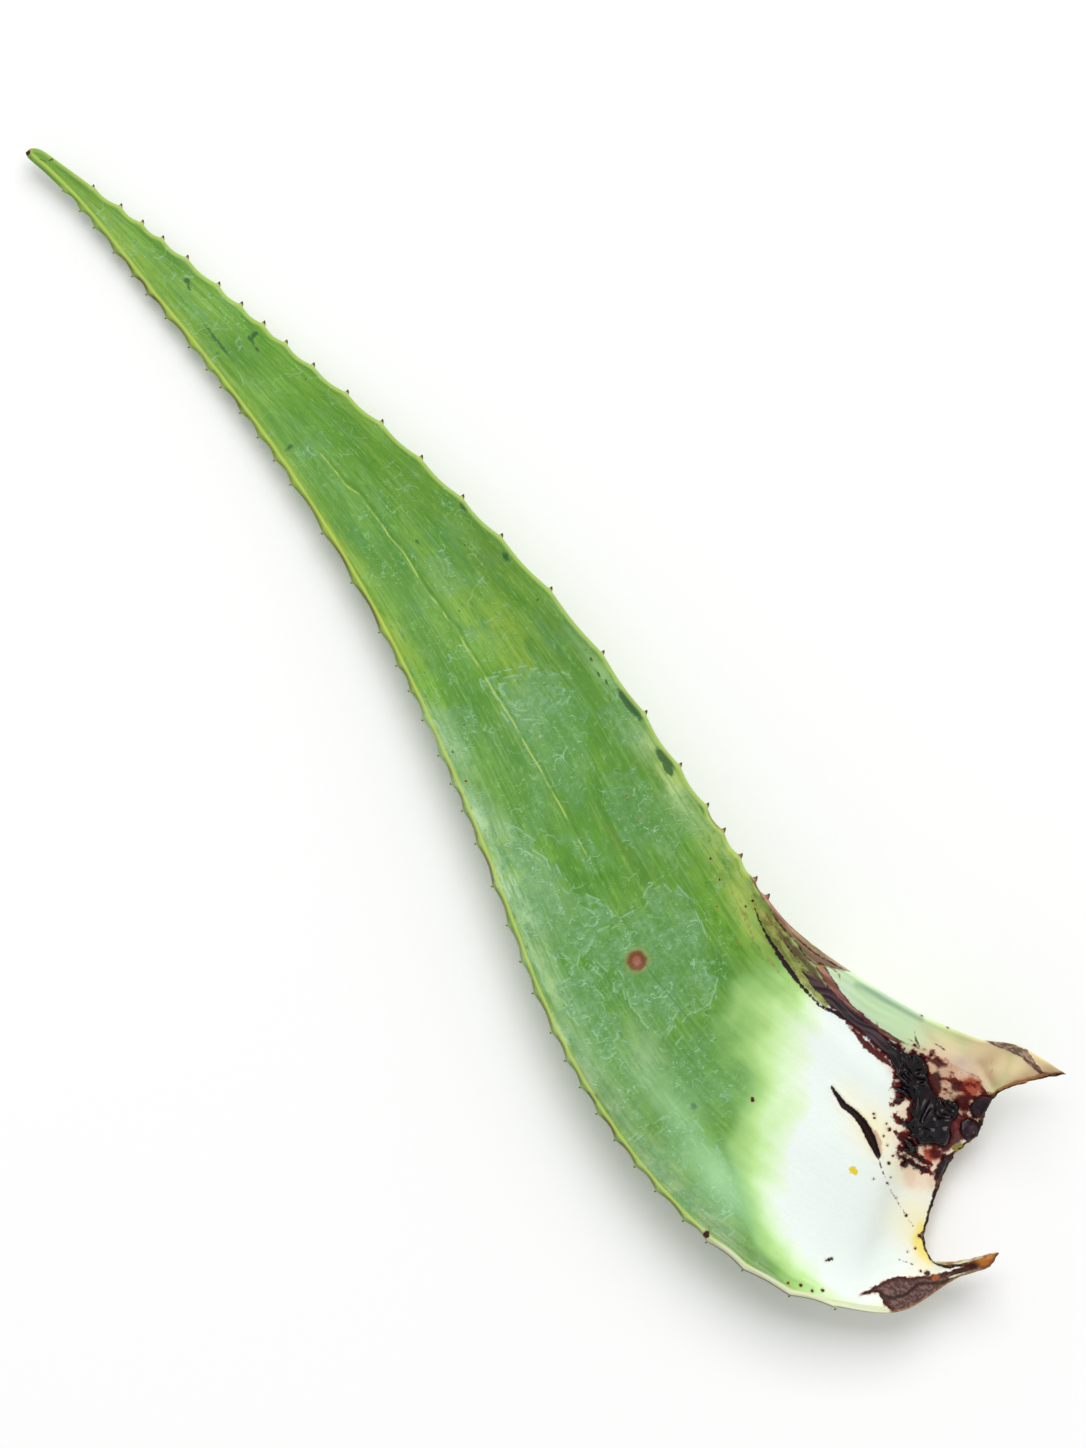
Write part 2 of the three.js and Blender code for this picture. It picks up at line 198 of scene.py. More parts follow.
teeth = {
    "left": {
        "from": -236, "to": 240, "seed": 11, "spread": 0.25, "size": 0.8,
        "shown": 0.42, "droop": 0.7,
        "y": [-236, -205, -180, -130, -90, -40, 0, 30, 50, 70, 100, 130, 170, 200, 240],
        "gap": [18, 17, 12, 11, 14, 13, 12, 9, 24, 22, 15, 10, 11, 10, 7],
    },
    "right": {
        "from": -108, "to": 238, "seed": 5, "spread": 0.12, "size": 1.0,
        "shown": 0.62, "droop": 0.0,
        "y": [-108, -80, -55, -20, 10, 50, 90, 125, 150, 180, 210, 240],
        "gap": [8.5, 11, 24, 29, 30, 18, 18, 16, 9.5, 13, 9, 12],
    },
    "length": 2.4,
    "halfWidth": 2.375,
    "halfHeight": 1.5,
    "taper": 0.75,
    "hook": 1.6,
    "tipSize": 0.75,  # of the teeth at the leaf's tip
    "tipStations": 7,
    "leastSize": 0.85,
    "sizeSpread": 0.3,
    "root": 1.6,
    "lean": 1.0,
    "sides": 12,
    "rings": 7,
    "cushion": 1.1,  # how far the margin draws in between two teeth
    "cusp": 0.45,
}


def marginCurve(side, station):
    return through(blade[side], station)


def marginDirections(side, station):  # towards the tip and outward, in plan
    step = 0.05
    ahead = marginCurve(side, np.minimum(station + step, lastStation))
    behind = marginCurve(side, np.maximum(station - step, 0))
    forward = (ahead - behind) * (1, 1, 0)
    forward /= np.linalg.norm(forward, axis=-1, keepdims=True)
    outward = np.stack([forward[..., 1], -forward[..., 0], 0 * forward[..., 0]], axis=-1)
    return forward, outward * outSign[side]


def stationAtHeight(side, y):
    low, high = 1.0, float(lastStation)
    while high - low > 1e-4:
        middle = (low + high) / 2
        if marginCurve(side, middle)[1] < y:
            low = middle
        else:
            high = middle
    return low


def toothStations(side):
    rule = teeth[side]
    draw = drawer(rule["seed"])
    found, y = [], rule["from"]
    while y < rule["to"]:
        found.append(stationAtHeight(side, y))
        y += np.interp(y, rule["y"], rule["gap"]) * (1 + rule["spread"] * (2 * draw() - 1))
    return np.array(found)


toothPlaces = {side: toothStations(side) for side in outSign}


def scallopAt(side, station):
    places = toothPlaces[side]
    after = np.searchsorted(places, station, side="right")
    between = (after > 0) & (after < len(places))
    after = np.clip(after, 1, len(places) - 1)
    share = (station - places[after - 1]) / (places[after] - places[after - 1])
    drawnIn = teeth["cushion"] * (teeth["cusp"] - np.sin(np.pi * share))
    return np.where(between, drawnIn, 0)


def marginPoint(side, station):
    station = np.asarray(station, float)
    _, outward = marginDirections(side, station)
    spoon = swell(station, blade["spoon"]) if side == "left" else 0
    return marginCurve(side, station) + outward * (scallopAt(side, station) + spoon)[..., None]


def rimAt(side, station):
    opening = mix(blade["rimBase"][side], blade["rimBlade"][side], ease(station / 3))
    return mix(opening, blade["rimTip"][side], ease((station - 14) / (lastStation - 14)))


def rowsAt(station):
    left, right = marginPoint("left", station), marginPoint("right", station)
    flesh = through(blade["flesh"], station)
    rims = {side: rimAt(side, station) for side in outSign}
    middle = through(blade["belly"], station) + flesh + rims["left"] + rims["right"]
    return {
        "station": station,
        "left": left,
        "right": right,
        "flesh": flesh,
        "rims": rims,
        "dish": (left[..., 2] + right[..., 2]) / 2 - middle,
    }


def mound(station, across, name):
    alongShape, place, reach = blade[name]
    return swell(station, alongShape) * bell(across - place, reach)


def baseRelief(station, across):
    place = through(blade["creasePlace"], station)
    start, reach = blade["creaseFade"]
    fade = 1 - ease((station - start) / reach)
    crease = blade["creaseDepth"] * fade * bell(across - place, blade["creaseWidth"])
    return mound(station, across, "hump") - crease + mound(station, across, "gutter")


def skinPoints(station, across, onBack):  # one point for each pair of station and across
    row = rowsAt(station)
    share = (across + 1) / 2
    rim = mix(row["rims"]["left"], row["rims"]["right"], share)
    breadth = row["right"] - row["left"]
    edge = np.minimum(rim / (np.hypot(breadth[..., 0], breadth[..., 1]) / 2), 0.45)
    past = np.clip((np.abs(across) - 1 + edge) / edge, 0, 1)
    bulge = np.sqrt(1 - past * past)
    fullness, taper = blade["roundness"]
    depth = (1 - np.abs(across) ** fullness) ** taper

    point = row["left"] + breadth * share[..., None]
    pull = 1 - ease(station / blade["tornReach"])
    tornPlace = through(blade["tornEdge"], share * (len(blade["tornEdge"]) - 1))
    ends = marginPoint("left", 0.0), marginPoint("right", 0.0)
    straight = mix(ends[0], ends[1], share[..., None])[..., :2]
    lean = blade["tornSlant"] * depth[..., None] * tornDirection[:2] if onBack else 0
    point[..., :2] += pull[..., None] * (tornPlace - straight - lean)

    squareness = mix(*blade["squareness"], ease((station - 4) / 6))
    point[..., 2] -= row["dish"] * (1 - np.abs(across) ** squareness)
    if onBack:
        point[..., 2] = np.maximum(0, point[..., 2] - rim * (1 + bulge) - row["flesh"] * depth)
    else:
        point[..., 2] += baseRelief(station, across) - rim * (1 - bulge)
    return point


marks = {  # places on the face, in mm
    "midline": [
        (-2.85, 112), (-2.4, 101.9), (-2.6, 96), (-0.9, 91.4), (-1.1, 84.4), (-1.2, 76.2),
        (-1.7, 73.3), (-1.1, 65.7), (-2, 58.7), (-3.2, 49.4), (-2.8, 42.4), (-3.5, 37.7),
        (-2.8, 33.6), (-4.4, 26), (-4.9, 19), (-6.1, 8.5), (-7, 1.5), (-7.3, -4.3), (-8.2, -9.2),
        (-9.3, -16.2), (-10.2, -24.4), (-11.4, -30.2), (-12.5, -38.4), (-14, -46.5), (-15.4, -54.7),
        (-16.6, -62.9), (-18.4, -72.2), (-21, -86), (-23.6, -102.5), (-23, -129.4),
    ],
    "blister": (-24.8, -97.6),
    "hornTip": {"at": (68.4, -220.6), "radius": 1.7},
    "spoon": {"at": (8.5, -255.2), "radius": 4.5, "flatter": 1.4},
    "hornFold": [(47.4, -199.6), (46.8, -204), (46, -209)],
    "whiteFlesh": [
        (24, -150), (17, -152), (6, -159), (-6, -167), (-15, -176), (-26, -185), (-36, -194),
        (-41.5, -205), (-42, -217), (-40, -230), (-36, -246), (-20, -254), (0, -262), (20, -262),
        (24, -190),
    ],
    "lipFade": [(-12, 16), (-176, 26)],  # where the pale lip begins, and over how much
    "whiteReach": [  # how far the green fades into the white, at each place across
        (-60, 12), (-48, 14), (-42, 20), (-30, 30), (-5, 40), (15, 38),
    ],
    "stayGreen": [  # where the green reaches further into the white base
        (-26, -154, 15, 9, 0.42), (0, -118, 14, 9, 0.3), (14, -120, 7, 12, 0.45),
        (12, -140, 6, 8, 0.25), (-6, -142, 10, 6, 0.1), (-12, -172, 10, 8, 0.12),
        (10, -152, 8, 8, 0.15),
    ],
    "darkEdge": [  # how wide the dried edge of the tear is, at each place across
        (-12, 0.5), (-7, 0.6), (-5.5, 1.3), (-3, 0.9), (0, 1.1), (5, 1.2), (9, 1.5), (12, 2.5),
        (17, 3.0), (19.5, 2.2), (22, 0.8), (26, 1.0), (30, 1.4), (38, 1.8), (43, 1.4), (47, 0.5),
        (60, 0.5), (69, 1.2),
    ],
    "hornRim": [  # the same for the brown rim of the upper horn
        (38, 0), (46, 1.5), (56, 1.7), (66, 1.6),
    ],
    "lines": {  # each gives the distance to its line
        "tail": [
            (-0.3, -203.3), (-1.2, -205.4), (-3.2, -211.2), (-4.4, -217), (-5, -221.7),
            (-5.4, -226.6), (-5.8, -231),
        ],
        "ring": [(60.6, -207.4), (62, -211), (62.3, -214.6), (64.6, -217.6), (67.4, -219.2)],
        "fold": [
            (-30, -241), (-27.6, -246), (-22.6, -248.2), (-17, -248), (-10, -252.6), (4, -255.4),
        ],
    },
    "streaks": {  # each has its lines, with half the width along each
        "slash": [
            (
                [
                    (1.7, -174.6), (1.1, -182), (2.4, -186.8), (2.6, -191.4), (1.5, -197.2),
                    (-0.3, -203.8),
                ],
                [0.5, 1.15, 1.25, 1.5, 1.7, 0.9],
            ),
        ],
        "fringe": [
            ([(2.6, -191), (3.6, -196.7), (2.9, -199.8), (1.2, -203.6)], [0.2, 1.0, 0.9, 0.5]),
        ],
        "crease": [
            (
                [
                    (19.5, -107.5), (17.9, -112), (16.5, -117.6), (16, -123.3), (15.5, -130.5),
                    (15.2, -137), (15.4, -144), (16.2, -150), (18.6, -154.5), (21.5, -160),
                ],
                [0.1, 0.3, 0.45, 0.65, 1.0, 0.75, 0.45, 0.55, 0.7, 1.2],
            ),
        ],
        "smudge": [
            (
                [(20.7, -118.1), (20.9, -126), (21.2, -133), (21.3, -137.9), (21.4, -144.8)],
                [0.2, 1.0, 1.3, 1.2, 0.8],
            ),
        ],
        # flap: the line along which painted shade runs on the curled flap
        "flap": [([(30.6, -151.3), (34.7, -159.8), (41, -174.4)], [0.2, 0.9, 0.2])],
        "strip": [
            (
                [
                    (24.4, -138.4), (23.9, -144.6), (23.5, -150.1), (23.8, -156.1), (25.2, -162.9),
                    (27.2, -169.6), (30.2, -176.6),
                ],
                [1.5, 1.6, 1.4, 1.3, 1.1, 1.0, 0.6],
            ),
        ],
        "redEdge": [
            (
                [(19.6, -161), (20.2, -166.5), (20.4, -171), (21.6, -176.3), (22.6, -181)],
                [0.2, 1.1, 1.2, 1.3, 0.6],
            ),
        ],
        "lobe": [
            ([(-3.4, -233.6), (-7.2, -236.8), (-7.6, -240), (-7.6, -244)], [0.4, 1.5, 1.7, 0.4]),
        ],
        "curl": [
            (
                [(54.8, -194.2), (59.9, -202.5), (61.8, -205.8), (61.9, -211.3), (62.4, -215.2)],
                [0.8, 1.5, 1.6, 1.1, 0.5],
            ),
        ],
        "darkLine": [
            (
                [(22.9, -112), (22.4, -118), (23, -126), (22.6, -133), (23.8, -138)],
                [0.1, 0.3, 0.2, 0.35, 0.1],
            ),
            ([(24.2, -126), (25.6, -133), (28.6, -140.4), (30.6, -144.8)], [0.1, 0.3, 0.25, 0.1]),
            ([(19.6, -119), (20, -126), (19.6, -134), (19.8, -141)], [0.05, 0.25, 0.1, 0.2]),
            ([(-13.4, 250.4), (-15.6, 251.2), (-17, 253.4)], [0.4, 0.15, 0.0]),
            ([(-17, -237.2), (-13.7, -242.5)], [0.15, 0.2]),
            ([(36.6, -176.6), (35, -179.4), (34.6, -182)], [0.1, 0.4, 0.2]),
            ([(39, -183.6), (40.6, -187), (41, -190)], [0.1, 0.25, 0.1]),
        ],
        "lightLine": [
            (
                [
                    (19.8, -120.3), (18.2, -125.8), (17.9, -132.3), (18.1, -138.3), (17.8, -144.8),
                    (17.5, -151.4),
                ],
                [0.1, 0.35, 0.35, 0.4, 0.35, 0.3],
            ),
            ([(21.2, -134.9), (24, -138.1), (26.7, -140.2)], [0.1, 0.4, 0.2]),
        ],
        "brownLine": [
            ([(16, -98.9), (14.9, -107.8), (13.8, -116.6)], [0.1, 0.2, 0.1]),
            ([(14.6, -105.6), (13.3, -112.3), (12, -117.1)], [0.05, 0.2, 0.1]),
            ([(12.2, -123), (11.8, -131.5), (13, -141.1)], [0.15, 0.15, 0.15]),
            ([(27, -139.8), (28, -144.6), (26.6, -147.4)], [0.1, 0.35, 0.1]),
            ([(52, -200.6), (49.4, -204), (46.4, -206.6)], [0.1, 0.2, 0.05]),
            ([(33, -176.8), (35.8, -184.6), (40.6, -196), (44.4, -203.6)], [0.05, 0.2, 0.1, 0.2]),
            ([(30.6, -176.4), (33.4, -181.4), (36.6, -188)], [0.4, 0.3, 0.1]),
        ],
    },
    "patches": {  # each has its outlines
        "olive": [
            [
                (20.4, -106.3), (21.2, -110.8), (22.7, -113.9), (23.1, -121.9), (23, -129.5),
                (23.4, -137.6), (23, -143.1), (20.4, -150.7), (17.1, -152), (15.9, -147.2),
                (15.5, -138), (16, -129.9), (16.7, -122.7), (18.3, -111.4),
            ],
        ],
        "brown": [
            [
                (24.4, -98), (23.4, -106), (22.7, -113.9), (22.6, -117.7), (23.1, -125.7),
                (22.7, -133.7), (23.6, -137.4), (26.8, -140.8), (31.4, -146.4), (33, -147.5),
                (31, -142), (28, -134), (26, -126), (25.6, -116), (25.8, -104),
            ],
        ],
        "lime": [
            [(5.5, 33), (15, 33), (15.5, 16), (11.4, 14), (11.4, 4), (1, 4), (1, 15), (5.5, 17)],
        ],
        "paper": [
            [
                (-36.3, -237.8), (-31.8, -239.1), (-27.6, -239.5), (-24, -240.5), (-20.5, -241.7),
                (-17.6, -244.7), (-13.6, -246.9), (-11.7, -248.4), (-9, -249.6), (-5.5, -251.2),
                (-1.8, -252.4), (2, -253.4), (9, -256), (10, -260), (0, -260), (-9.6, -259),
                (-23.6, -257.6), (-29.6, -254), (-30.6, -246.1), (-29.9, -241.6),
            ],
        ],
        "red": [
            [
                (27, -172), (33, -180), (40, -187), (43.6, -196), (46.4, -206), (43.5, -210),
                (33, -219), (20, -221), (8, -226), (1, -219), (4, -208), (9, -199), (16, -195),
                (20, -184), (22, -174),
            ],
        ],
        "rust": [
            [
                (31, -183), (36, -186), (39.4, -190.1), (40.8, -197.4), (44.1, -204.5),
                (43.6, -208.5), (37.2, -209.6), (33, -211.4), (28, -204), (28, -190),
            ],
            [(12.9, -209), (19.1, -214), (16, -220), (11.7, -217.4)],
            [(10, -200), (15, -203), (13, -209), (9, -208)],
        ],
        "ember": [
            [
                (38.6, -200.2), (42.2, -201.2), (43.6, -203.6), (43, -207.1), (40.7, -208.9),
                (36.1, -208.6), (34.3, -205.7),
            ],
            [
                (14, -211.2), (16.9, -213.8), (18.7, -216.6), (15.9, -218.4), (12.8, -217.3),
                (11.9, -213.9),
            ],
            [(12.8, -203), (16, -203), (15, -207), (12.6, -206.6)],
        ],
        "maroon": [
            [(30.9, -192.4), (34.3, -193.2), (31.8, -198.1), (29, -199.7)],
            [(34.4, -187.2), (37.4, -190.3), (37.9, -192.8), (35.6, -191.6)],
            [(35.9, -199.8), (38.2, -201), (36.2, -203.1), (34.4, -201.6)],
            [(33.4, -204.4), (37.4, -206.4), (35.6, -209.4), (32.6, -209.6)],
            [(15.9, -214.2), (18.4, -216.2), (16.4, -217.6), (14.4, -216)],
            [
                (26.4, -209.1), (28.6, -209.8), (29.7, -212.3), (27.6, -215.8), (25.1, -217.5),
                (18.9, -217.3), (18.6, -215), (21.6, -214.5), (24.6, -212.2),
            ],
        ],
        "bloom": [
            [
                (-35, -84), (-30, -80), (-12, -83), (-6, -80), (0.7, -80.8), (1.5, -97), (-6, -118),
                (-14, -124), (-23, -123), (-36, -128), (-38, -110), (-33, -98),
            ],
            [
                (-38, -33), (-32, -36), (-27, -50), (-30, -63), (-22, -78), (-36, -84), (-44, -90),
                (-48, -76), (-46, -60),
            ],
            [(-52, -86), (-42, -88), (-40, -100), (-45, -117), (-53, -116)],
            [(-66, -147), (-46, -147), (-45, -168), (-47, -191), (-60, -190), (-66, -170)],
            [(-5.6, 11.6), (10.5, 3.6), (17, -8), (10, -12), (2, -10), (-6, -4)],
        ],
        "faint": [
            [(-6, -4), (17, -8), (17, -19.5), (8, -26), (-5, -42), (-12.8, -32), (-9.8, -5)],
            [(-29, 16), (-14, 9), (-20, 0), (-31, -10), (-33, -34), (-37, -20), (-34, 0)],
            [(-20, -47), (-11.7, -51), (-10, -66), (-20.5, -62)],
            [(17, -20), (27, -21), (28, -30), (24, -38), (16, -36)],
            [(17, -58), (25, -60), (25, -78), (18, -76)],
            [(-12, 118.8), (-2.6, 118.8), (-3, 110.6), (-12, 111)],
            [(0, 56), (10, 58), (12, 44), (2, 42)],
            [(-60, -96), (-52, -90), (-48, -120), (-56, -145), (-64, -140)],
            [(-12, -130), (-4, -128), (-6, -152), (-20, -160), (-42, -150), (-44, -132)],
            [(4, -40), (16, -44), (18, -70), (6, -78), (-4, -60)],
        ],
    },
    "sap": {  # where the sap has dried black
        "blackSap": [
            [
                (26.1, -175.3), (28, -176.3), (29, -178.4), (29.5, -181.1), (32.2, -182.7),
                (33.4, -186.3), (32.8, -189.4), (31.1, -191.6), (29.6, -194.7), (28.9, -200.1),
                (30.5, -202.7), (33.3, -205.8), (32.4, -208.6), (30.4, -210.6), (27.9, -210.4),
                (25.6, -212.2), (24.9, -214.3), (21.4, -216), (19.1, -216), (18.3, -213.6),
                (15.6, -211.5), (13.2, -210), (13.3, -207), (14, -204.4), (13.4, -201),
                (12.6, -196.4), (15.5, -200.3), (17.2, -200.3), (17.8, -197.2), (19.8, -197),
                (21.1, -195.3), (20.1, -193.2), (19.1, -191.1), (18.6, -187.6), (21.3, -189.3),
                (22, -186.2), (21.3, -184.8), (23.1, -183.6), (23.3, -180.6), (24.2, -176.5),
            ],
            [
                (9.5, -200.4), (11.6, -205.2), (13, -206.8), (12.8, -209.3), (11.4, -211.7),
                (9.2, -210.5), (8.6, -207.8), (9.8, -205.2),
            ],
            [(5.2, -210.5), (6.7, -212), (5.2, -213.6), (4, -212)],
        ],
        "scabs": [  # flat dried pieces at the torn edge
            [
                (38.2, -208.2), (41.9, -209.6), (44.6, -212), (42.1, -213.9), (37.8, -216),
                (36.2, -215.2), (34.7, -214.6), (34.3, -212.3), (35.3, -210),
            ],
            [
                (29.6, -211.9), (32.9, -212.5), (34.2, -215.1), (34.5, -216.6), (32.9, -218),
                (31.8, -219.8), (29.4, -219), (27.3, -219.7), (27, -216.8), (27.8, -213.9),
            ],
            [
                (19.6, -219.6), (16.8, -221.3), (13.5, -223.2), (11.1, -224), (10.5, -222.6),
                (13.6, -219.9), (17.8, -217.9),
            ],
        ],
        "sapStreaks": [
            (
                [
                    (18.6, -136.3), (19.8, -143.6), (21, -151.5), (22.6, -160), (24.4, -167),
                    (25.6, -175.8),
                ],
                [0.4, 1.7, 2.1, 2.2, 2.2, 2.4],
            ),
            ([(7.4, -206.3), (9, -209.3), (10.6, -213.6), (12.3, -217.9)], [0.4, 0.7, 0.7, 0.45]),
            ([(5.4, -207), (6.6, -211), (8.1, -215.1), (10.2, -218.6)], [0.3, 0.75, 0.7, 0.6]),
            ([(18.6, -192.6), (14.6, -192)], [0.9, 0.3]),
            ([(14.4, -206), (10.2, -202)], [0.8, 0.25]),
        ],
    },
    "drops": {  # round spots: middle x, y, radius
        "drop": [
            (8.1, -50, 0.35), (6.4, -59, 0.3), (17.5, -85.4, 0.4), (15.5, -93, 0.35),
            (9, -100, 0.3), (20.1, -106, 0.4), (17, -106, 0.35), (7, -114.5, 0.3),
            (-33.3, -11.3, 0.35), (-18.9, 258, 1.3), (14.8, -192.8, 0.4), (7.6, -191.2, 0.5),
            (6.9, -192.3, 0.35), (8.9, -196.5, 0.3), (8.5, -198.6, 0.75), (5.5, -199.3, 0.4),
            (3.8, -206.9, 0.3), (1.1, -208, 0.6), (-6.5, -209, 0.3), (-1.5, -212.5, 0.2),
            (6.8, -215.3, 0.35), (-4.4, -219.4, 0.35), (-3.6, -213.4, 0.3), (-5.4, -226.6, 0.45),
            (-10, -237.7, 0.35), (-12.8, -237, 0.25), (-37.2, -221.4, 0.45), (-36.3, -221.8, 0.5),
            (-35.3, -222.1, 0.5), (-12.1, -247.1, 1.0), (-13.6, -245.2, 0.4), (-22.8, -160.9, 0.7),
            (42, -173.6, 0.5), (46.6, -182.4, 0.5), (4.6, -202.6, 0.4), (-6.2, -235.4, 0.7),
            (-64.4, -187.7, 1.2), (-52.5, -219, 0.5), (-49.5, -222.4, 0.6), (-47.6, -226.4, 0.5),
            (-44.6, -228.6, 0.6), (36, -186.6, 0.7), (33.6, -180.6, 0.5),
        ],
        "yellowSpeck": [(-10.4, -201.9, 1.25), (-10.1, -203.1, 1.05)],
        "orangeLobe": [(-10.2, -250.2, 0.9), (-11.3, -249.9, 0.7)],
        "oliveLobe": [(22.9, -218.4, 1.2), (24.5, -218.8, 0.9)],
    },
}

tints = {  # soft round patches: middle x, y, reach x, y, strength
    # shade: darker green; its patches left of the middle are painted shade that tones down where
    # the face tilts towards the lamp
    "shade": [
        (-18, 2, 9, 26, 0.9), (-24, -36, 9, 26, 0.9), (-36, -80, 8, 20, 0.9), (-8, -52, 8, 24, 0.8),
        (-3, 150, 4, 26, 0.7), (-4, 118, 6, 18, 0.6), (9, 96, 6, 20, 0.6), (-11, 60, 6, 22, 0.8),
        (-13, 24, 6, 22, 0.7), (14, -28, 9, 24, 0.9), (4, -98, 5, 24, 0.8), (-40, -98, 8, 20, 0.3),
        (10, -60, 8, 20, 0.4), (13, -116, 5, 14, 0.8), (14, 10, 8, 14, 0.5),
    ],
    "dusty": [
        (-24, -28, 20, 34, 0.6), (-22, -104, 30, 28, 0.9), (4, -60, 14, 34, 0.6),
        (16, -6, 12, 18, 0.8), (-8, -30, 16, 24, 0.6), (-40, -126, 22, 28, 0.8),
        (-4, 86, 8, 22, 0.5), (2, 50, 8, 14, 0.7), (-14, 50, 7, 20, 0.6), (14, 60, 10, 24, 0.4),
        (-18, -148, 26, 16, 0.6), (0, -122, 10, 12, 0.6), (-2, 118, 6, 12, 0.5),
        (-8, 190, 4, 30, 0.4),
    ],
    "mint": [(-48.5, -176, 7, 20, 0.95), (-46, -148, 6, 16, 0.6), (-26, -158, 10, 8, 0.2)],
    "warm": [
        (8, -214, 9, 12, 0.9), (4, -196, 7, 13, 0.75), (-4, -232, 9, 12, 0.8),
        (16, -200, 9, 9, 0.6), (4, -182, 6, 7, 0.4), (-22, -248, 14, 6, 0.5),
        (-10, -243, 5, 6, 0.8),
    ],
    "stripe": [(21, -124, 5, 20, 1.0), (23, -140, 4, 14, 0.8)],
    "olive": [
        (21, 43, 8, 15, 1.0), (23, 12, 8, 16, 0.8), (15, 80, 8, 14, 0.45), (-4, -66, 2.2, 20, 0.9),
        (27, -60, 4, 22, 0.35), (22, -92, 6, 16, 0.5), (21, -118, 5, 16, 0.9),
        (-56, -224, 7, 14, 0.5), (-52, -150, 7, 7, 0.5),
    ],
    "fresh": [
        (-22.5, 22, 5, 10, 1.0), (-16, 60, 5, 14, 0.5), (-10, -57, 5, 15, 0.8),
        (-25, -12, 7, 20, 0.6), (-22, -48, 7, 10, 0.6), (-43, -84, 7, 8, 0.6),
        (8, -105, 6, 22, 0.8), (6, -22, 6, 16, 0.5), (-28, -155, 14, 14, 0.7),
        (-54, -120, 4, 16, 0.5), (-6, 20, 5, 20, 0.35), (4, 128, 8, 26, 0.6), (12, 92, 8, 16, 0.5),
    ],
    "yellow": [
        (10.5, 24, 6, 10, 0.9), (6, 9, 6, 7, 0.8), (7, 40, 2.5, 14, 0.4), (22, -98, 4, 14, 0.7),
        (10, -140, 9, 12, 0.9), (-36.5, -38, 3, 4, 0.7), (21, -122, 4, 12, 0.5),
        (-34, -44, 3, 5, 0.5), (13, 112, 6, 20, 0.4),
    ],
    "pale": [
        (-12, 215, 4, 30, 0.9), (-13.5, 165, 3.5, 34, 1.0), (-15.5, 120, 3.5, 30, 1.0),
        (-18, 80, 3.5, 26, 1.1), (-22, 48, 4, 22, 0.9), (-27, 24, 4, 14, 0.7),
        (-5, 200, 4, 22, 0.3), (-54, -80, 5, 18, 0.5), (-32, 0, 4, 12, 0.4), (4, 35, 5, 22, 0.4),
        (-43, -40, 4, 12, 0.5), (-2, 182, 3, 14, 0.4),
    ],
    "sallow": [
        (24, -84, 4.5, 26, 1.1), (19, -104, 5, 14, 1.0), (25, -52, 4, 14, 0.6),
        (13, -132, 6, 9, 0.6), (14, -112, 4, 14, 0.6), (22, -96, 6, 14, 0.8),
    ],
    "glow": [
        (-6, 92, 4, 20, 0.7), (4, 30, 5, 26, 0.8), (1, 4, 5, 12, 0.6), (16.6, 108, 3.4, 24, 0.9),
        (18, 78, 2.5, 14, 0.5), (2, 180, 3, 14, 0.8), (-6, 182, 4, 16, 0.6), (-8, 212, 4, 24, 0.9),
        (-15, 246, 4, 14, 1.0), (9, 152, 3, 16, 0.6), (-4, -18, 4, 12, 0.4), (5, 62, 5, 14, 0.5),
        (29, 20, 2.5, 30, 0.6), (-8, 132, 4, 14, 0.4),
    ],
    "frost": [
        (-31, 6, 6, 18, 1.1), (-37, -22, 5.5, 20, 1.1), (-45, -52, 5.5, 18, 1.1),
        (-54, -80, 6, 18, 1.2), (-60, -106, 5, 16, 1.0), (-36, -56, 6, 14, 0.4), (0, -6, 8, 9, 0.5),
        (24, -40, 4, 10, 0.8), (-42, -124, 6, 12, 0.5), (23, -62, 4, 12, 0.9),
        (-48, -130, 5, 14, 0.5), (28, -12, 3, 30, 0.4),
    ],
    "greyed": [
        (-64, -128, 6, 18, 1.0), (-65, -162, 7, 22, 1.0), (-61, -190, 7, 18, 1.0),
        (-55, -212, 6, 12, 0.9),
    ],
    "cream": [(60, -212, 13, 12, 1.2), (50, -200, 12, 12, 1.2), (41, -192, 8, 12, 1.0)],
    "tan": [
        (54, -213.5, 9, 2.8, 1.0), (62, -216.5, 6, 3.4, 1.0), (47.6, -206, 2.4, 5, 0.7),
        (50, -200.6, 6, 3, 0.6), (60, -212.5, 5, 3, 0.4), (40, -182, 1.5, 7, 0.25),
    ],
    "blush": [(42.6, -198, 4, 7, 1.0), (36, -191, 5, 7, 0.7), (6, -222, 5, 5, 0.4)],
    "flap": [(32, -158, 7, 16, 1.3), (38, -173, 8, 12, 1.2), (29, -148, 5, 8, 0.8)],
    "dark": [
        (28.6, -25.5, 1.6, 6.5, 1.2), (26.4, -48, 1.6, 4.5, 1.2), (25, -51.5, 1.2, 2.5, 1.2),
        (25.4, 65, 1.4, 2, 0.8), (26, 42, 1.4, 2.4, 0.7), (-10, 119.7, 2.4, 0.7, 1.1),
        (4.6, 158.4, 1.8, 0.7, 1.0), (2.6, 157.6, 0.9, 1.6, 0.9), (2.2, 153.6, 0.7, 1.6, 0.7),
        (0.2, 188.8, 2.0, 0.6, 1.0), (-2.4, 187.6, 1.2, 1.1, 1.0), (-3.4, 185.2, 0.7, 1.6, 0.7),
        (-7, 164, 0.7, 11, 0.6), (-9.6, 160.4, 1.0, 0.8, 0.8), (10, 96.6, 3.5, 0.6, 0.6),
        (28.4, -1.5, 0.8, 0.7, 1.2), (27.6, -5, 0.7, 0.6, 1.0), (26.4, -10, 0.5, 1.6, 0.9),
        (26.9, -14.5, 0.5, 1.4, 0.9), (5, 65, 0.8, 2, 0.6), (-66.5, -125.6, 1.5, 2.4, 1.2),
        (-40.5, -150, 1.4, 1.4, 0.8),
    ],
}


def acrossPlaces(columns):  # closer together towards the two margins
    even, share = np.linspace(-1, 1, columns + 1), blade["evenShare"]
    return share * even + (1 - share) * np.sin(even * np.pi / 2)


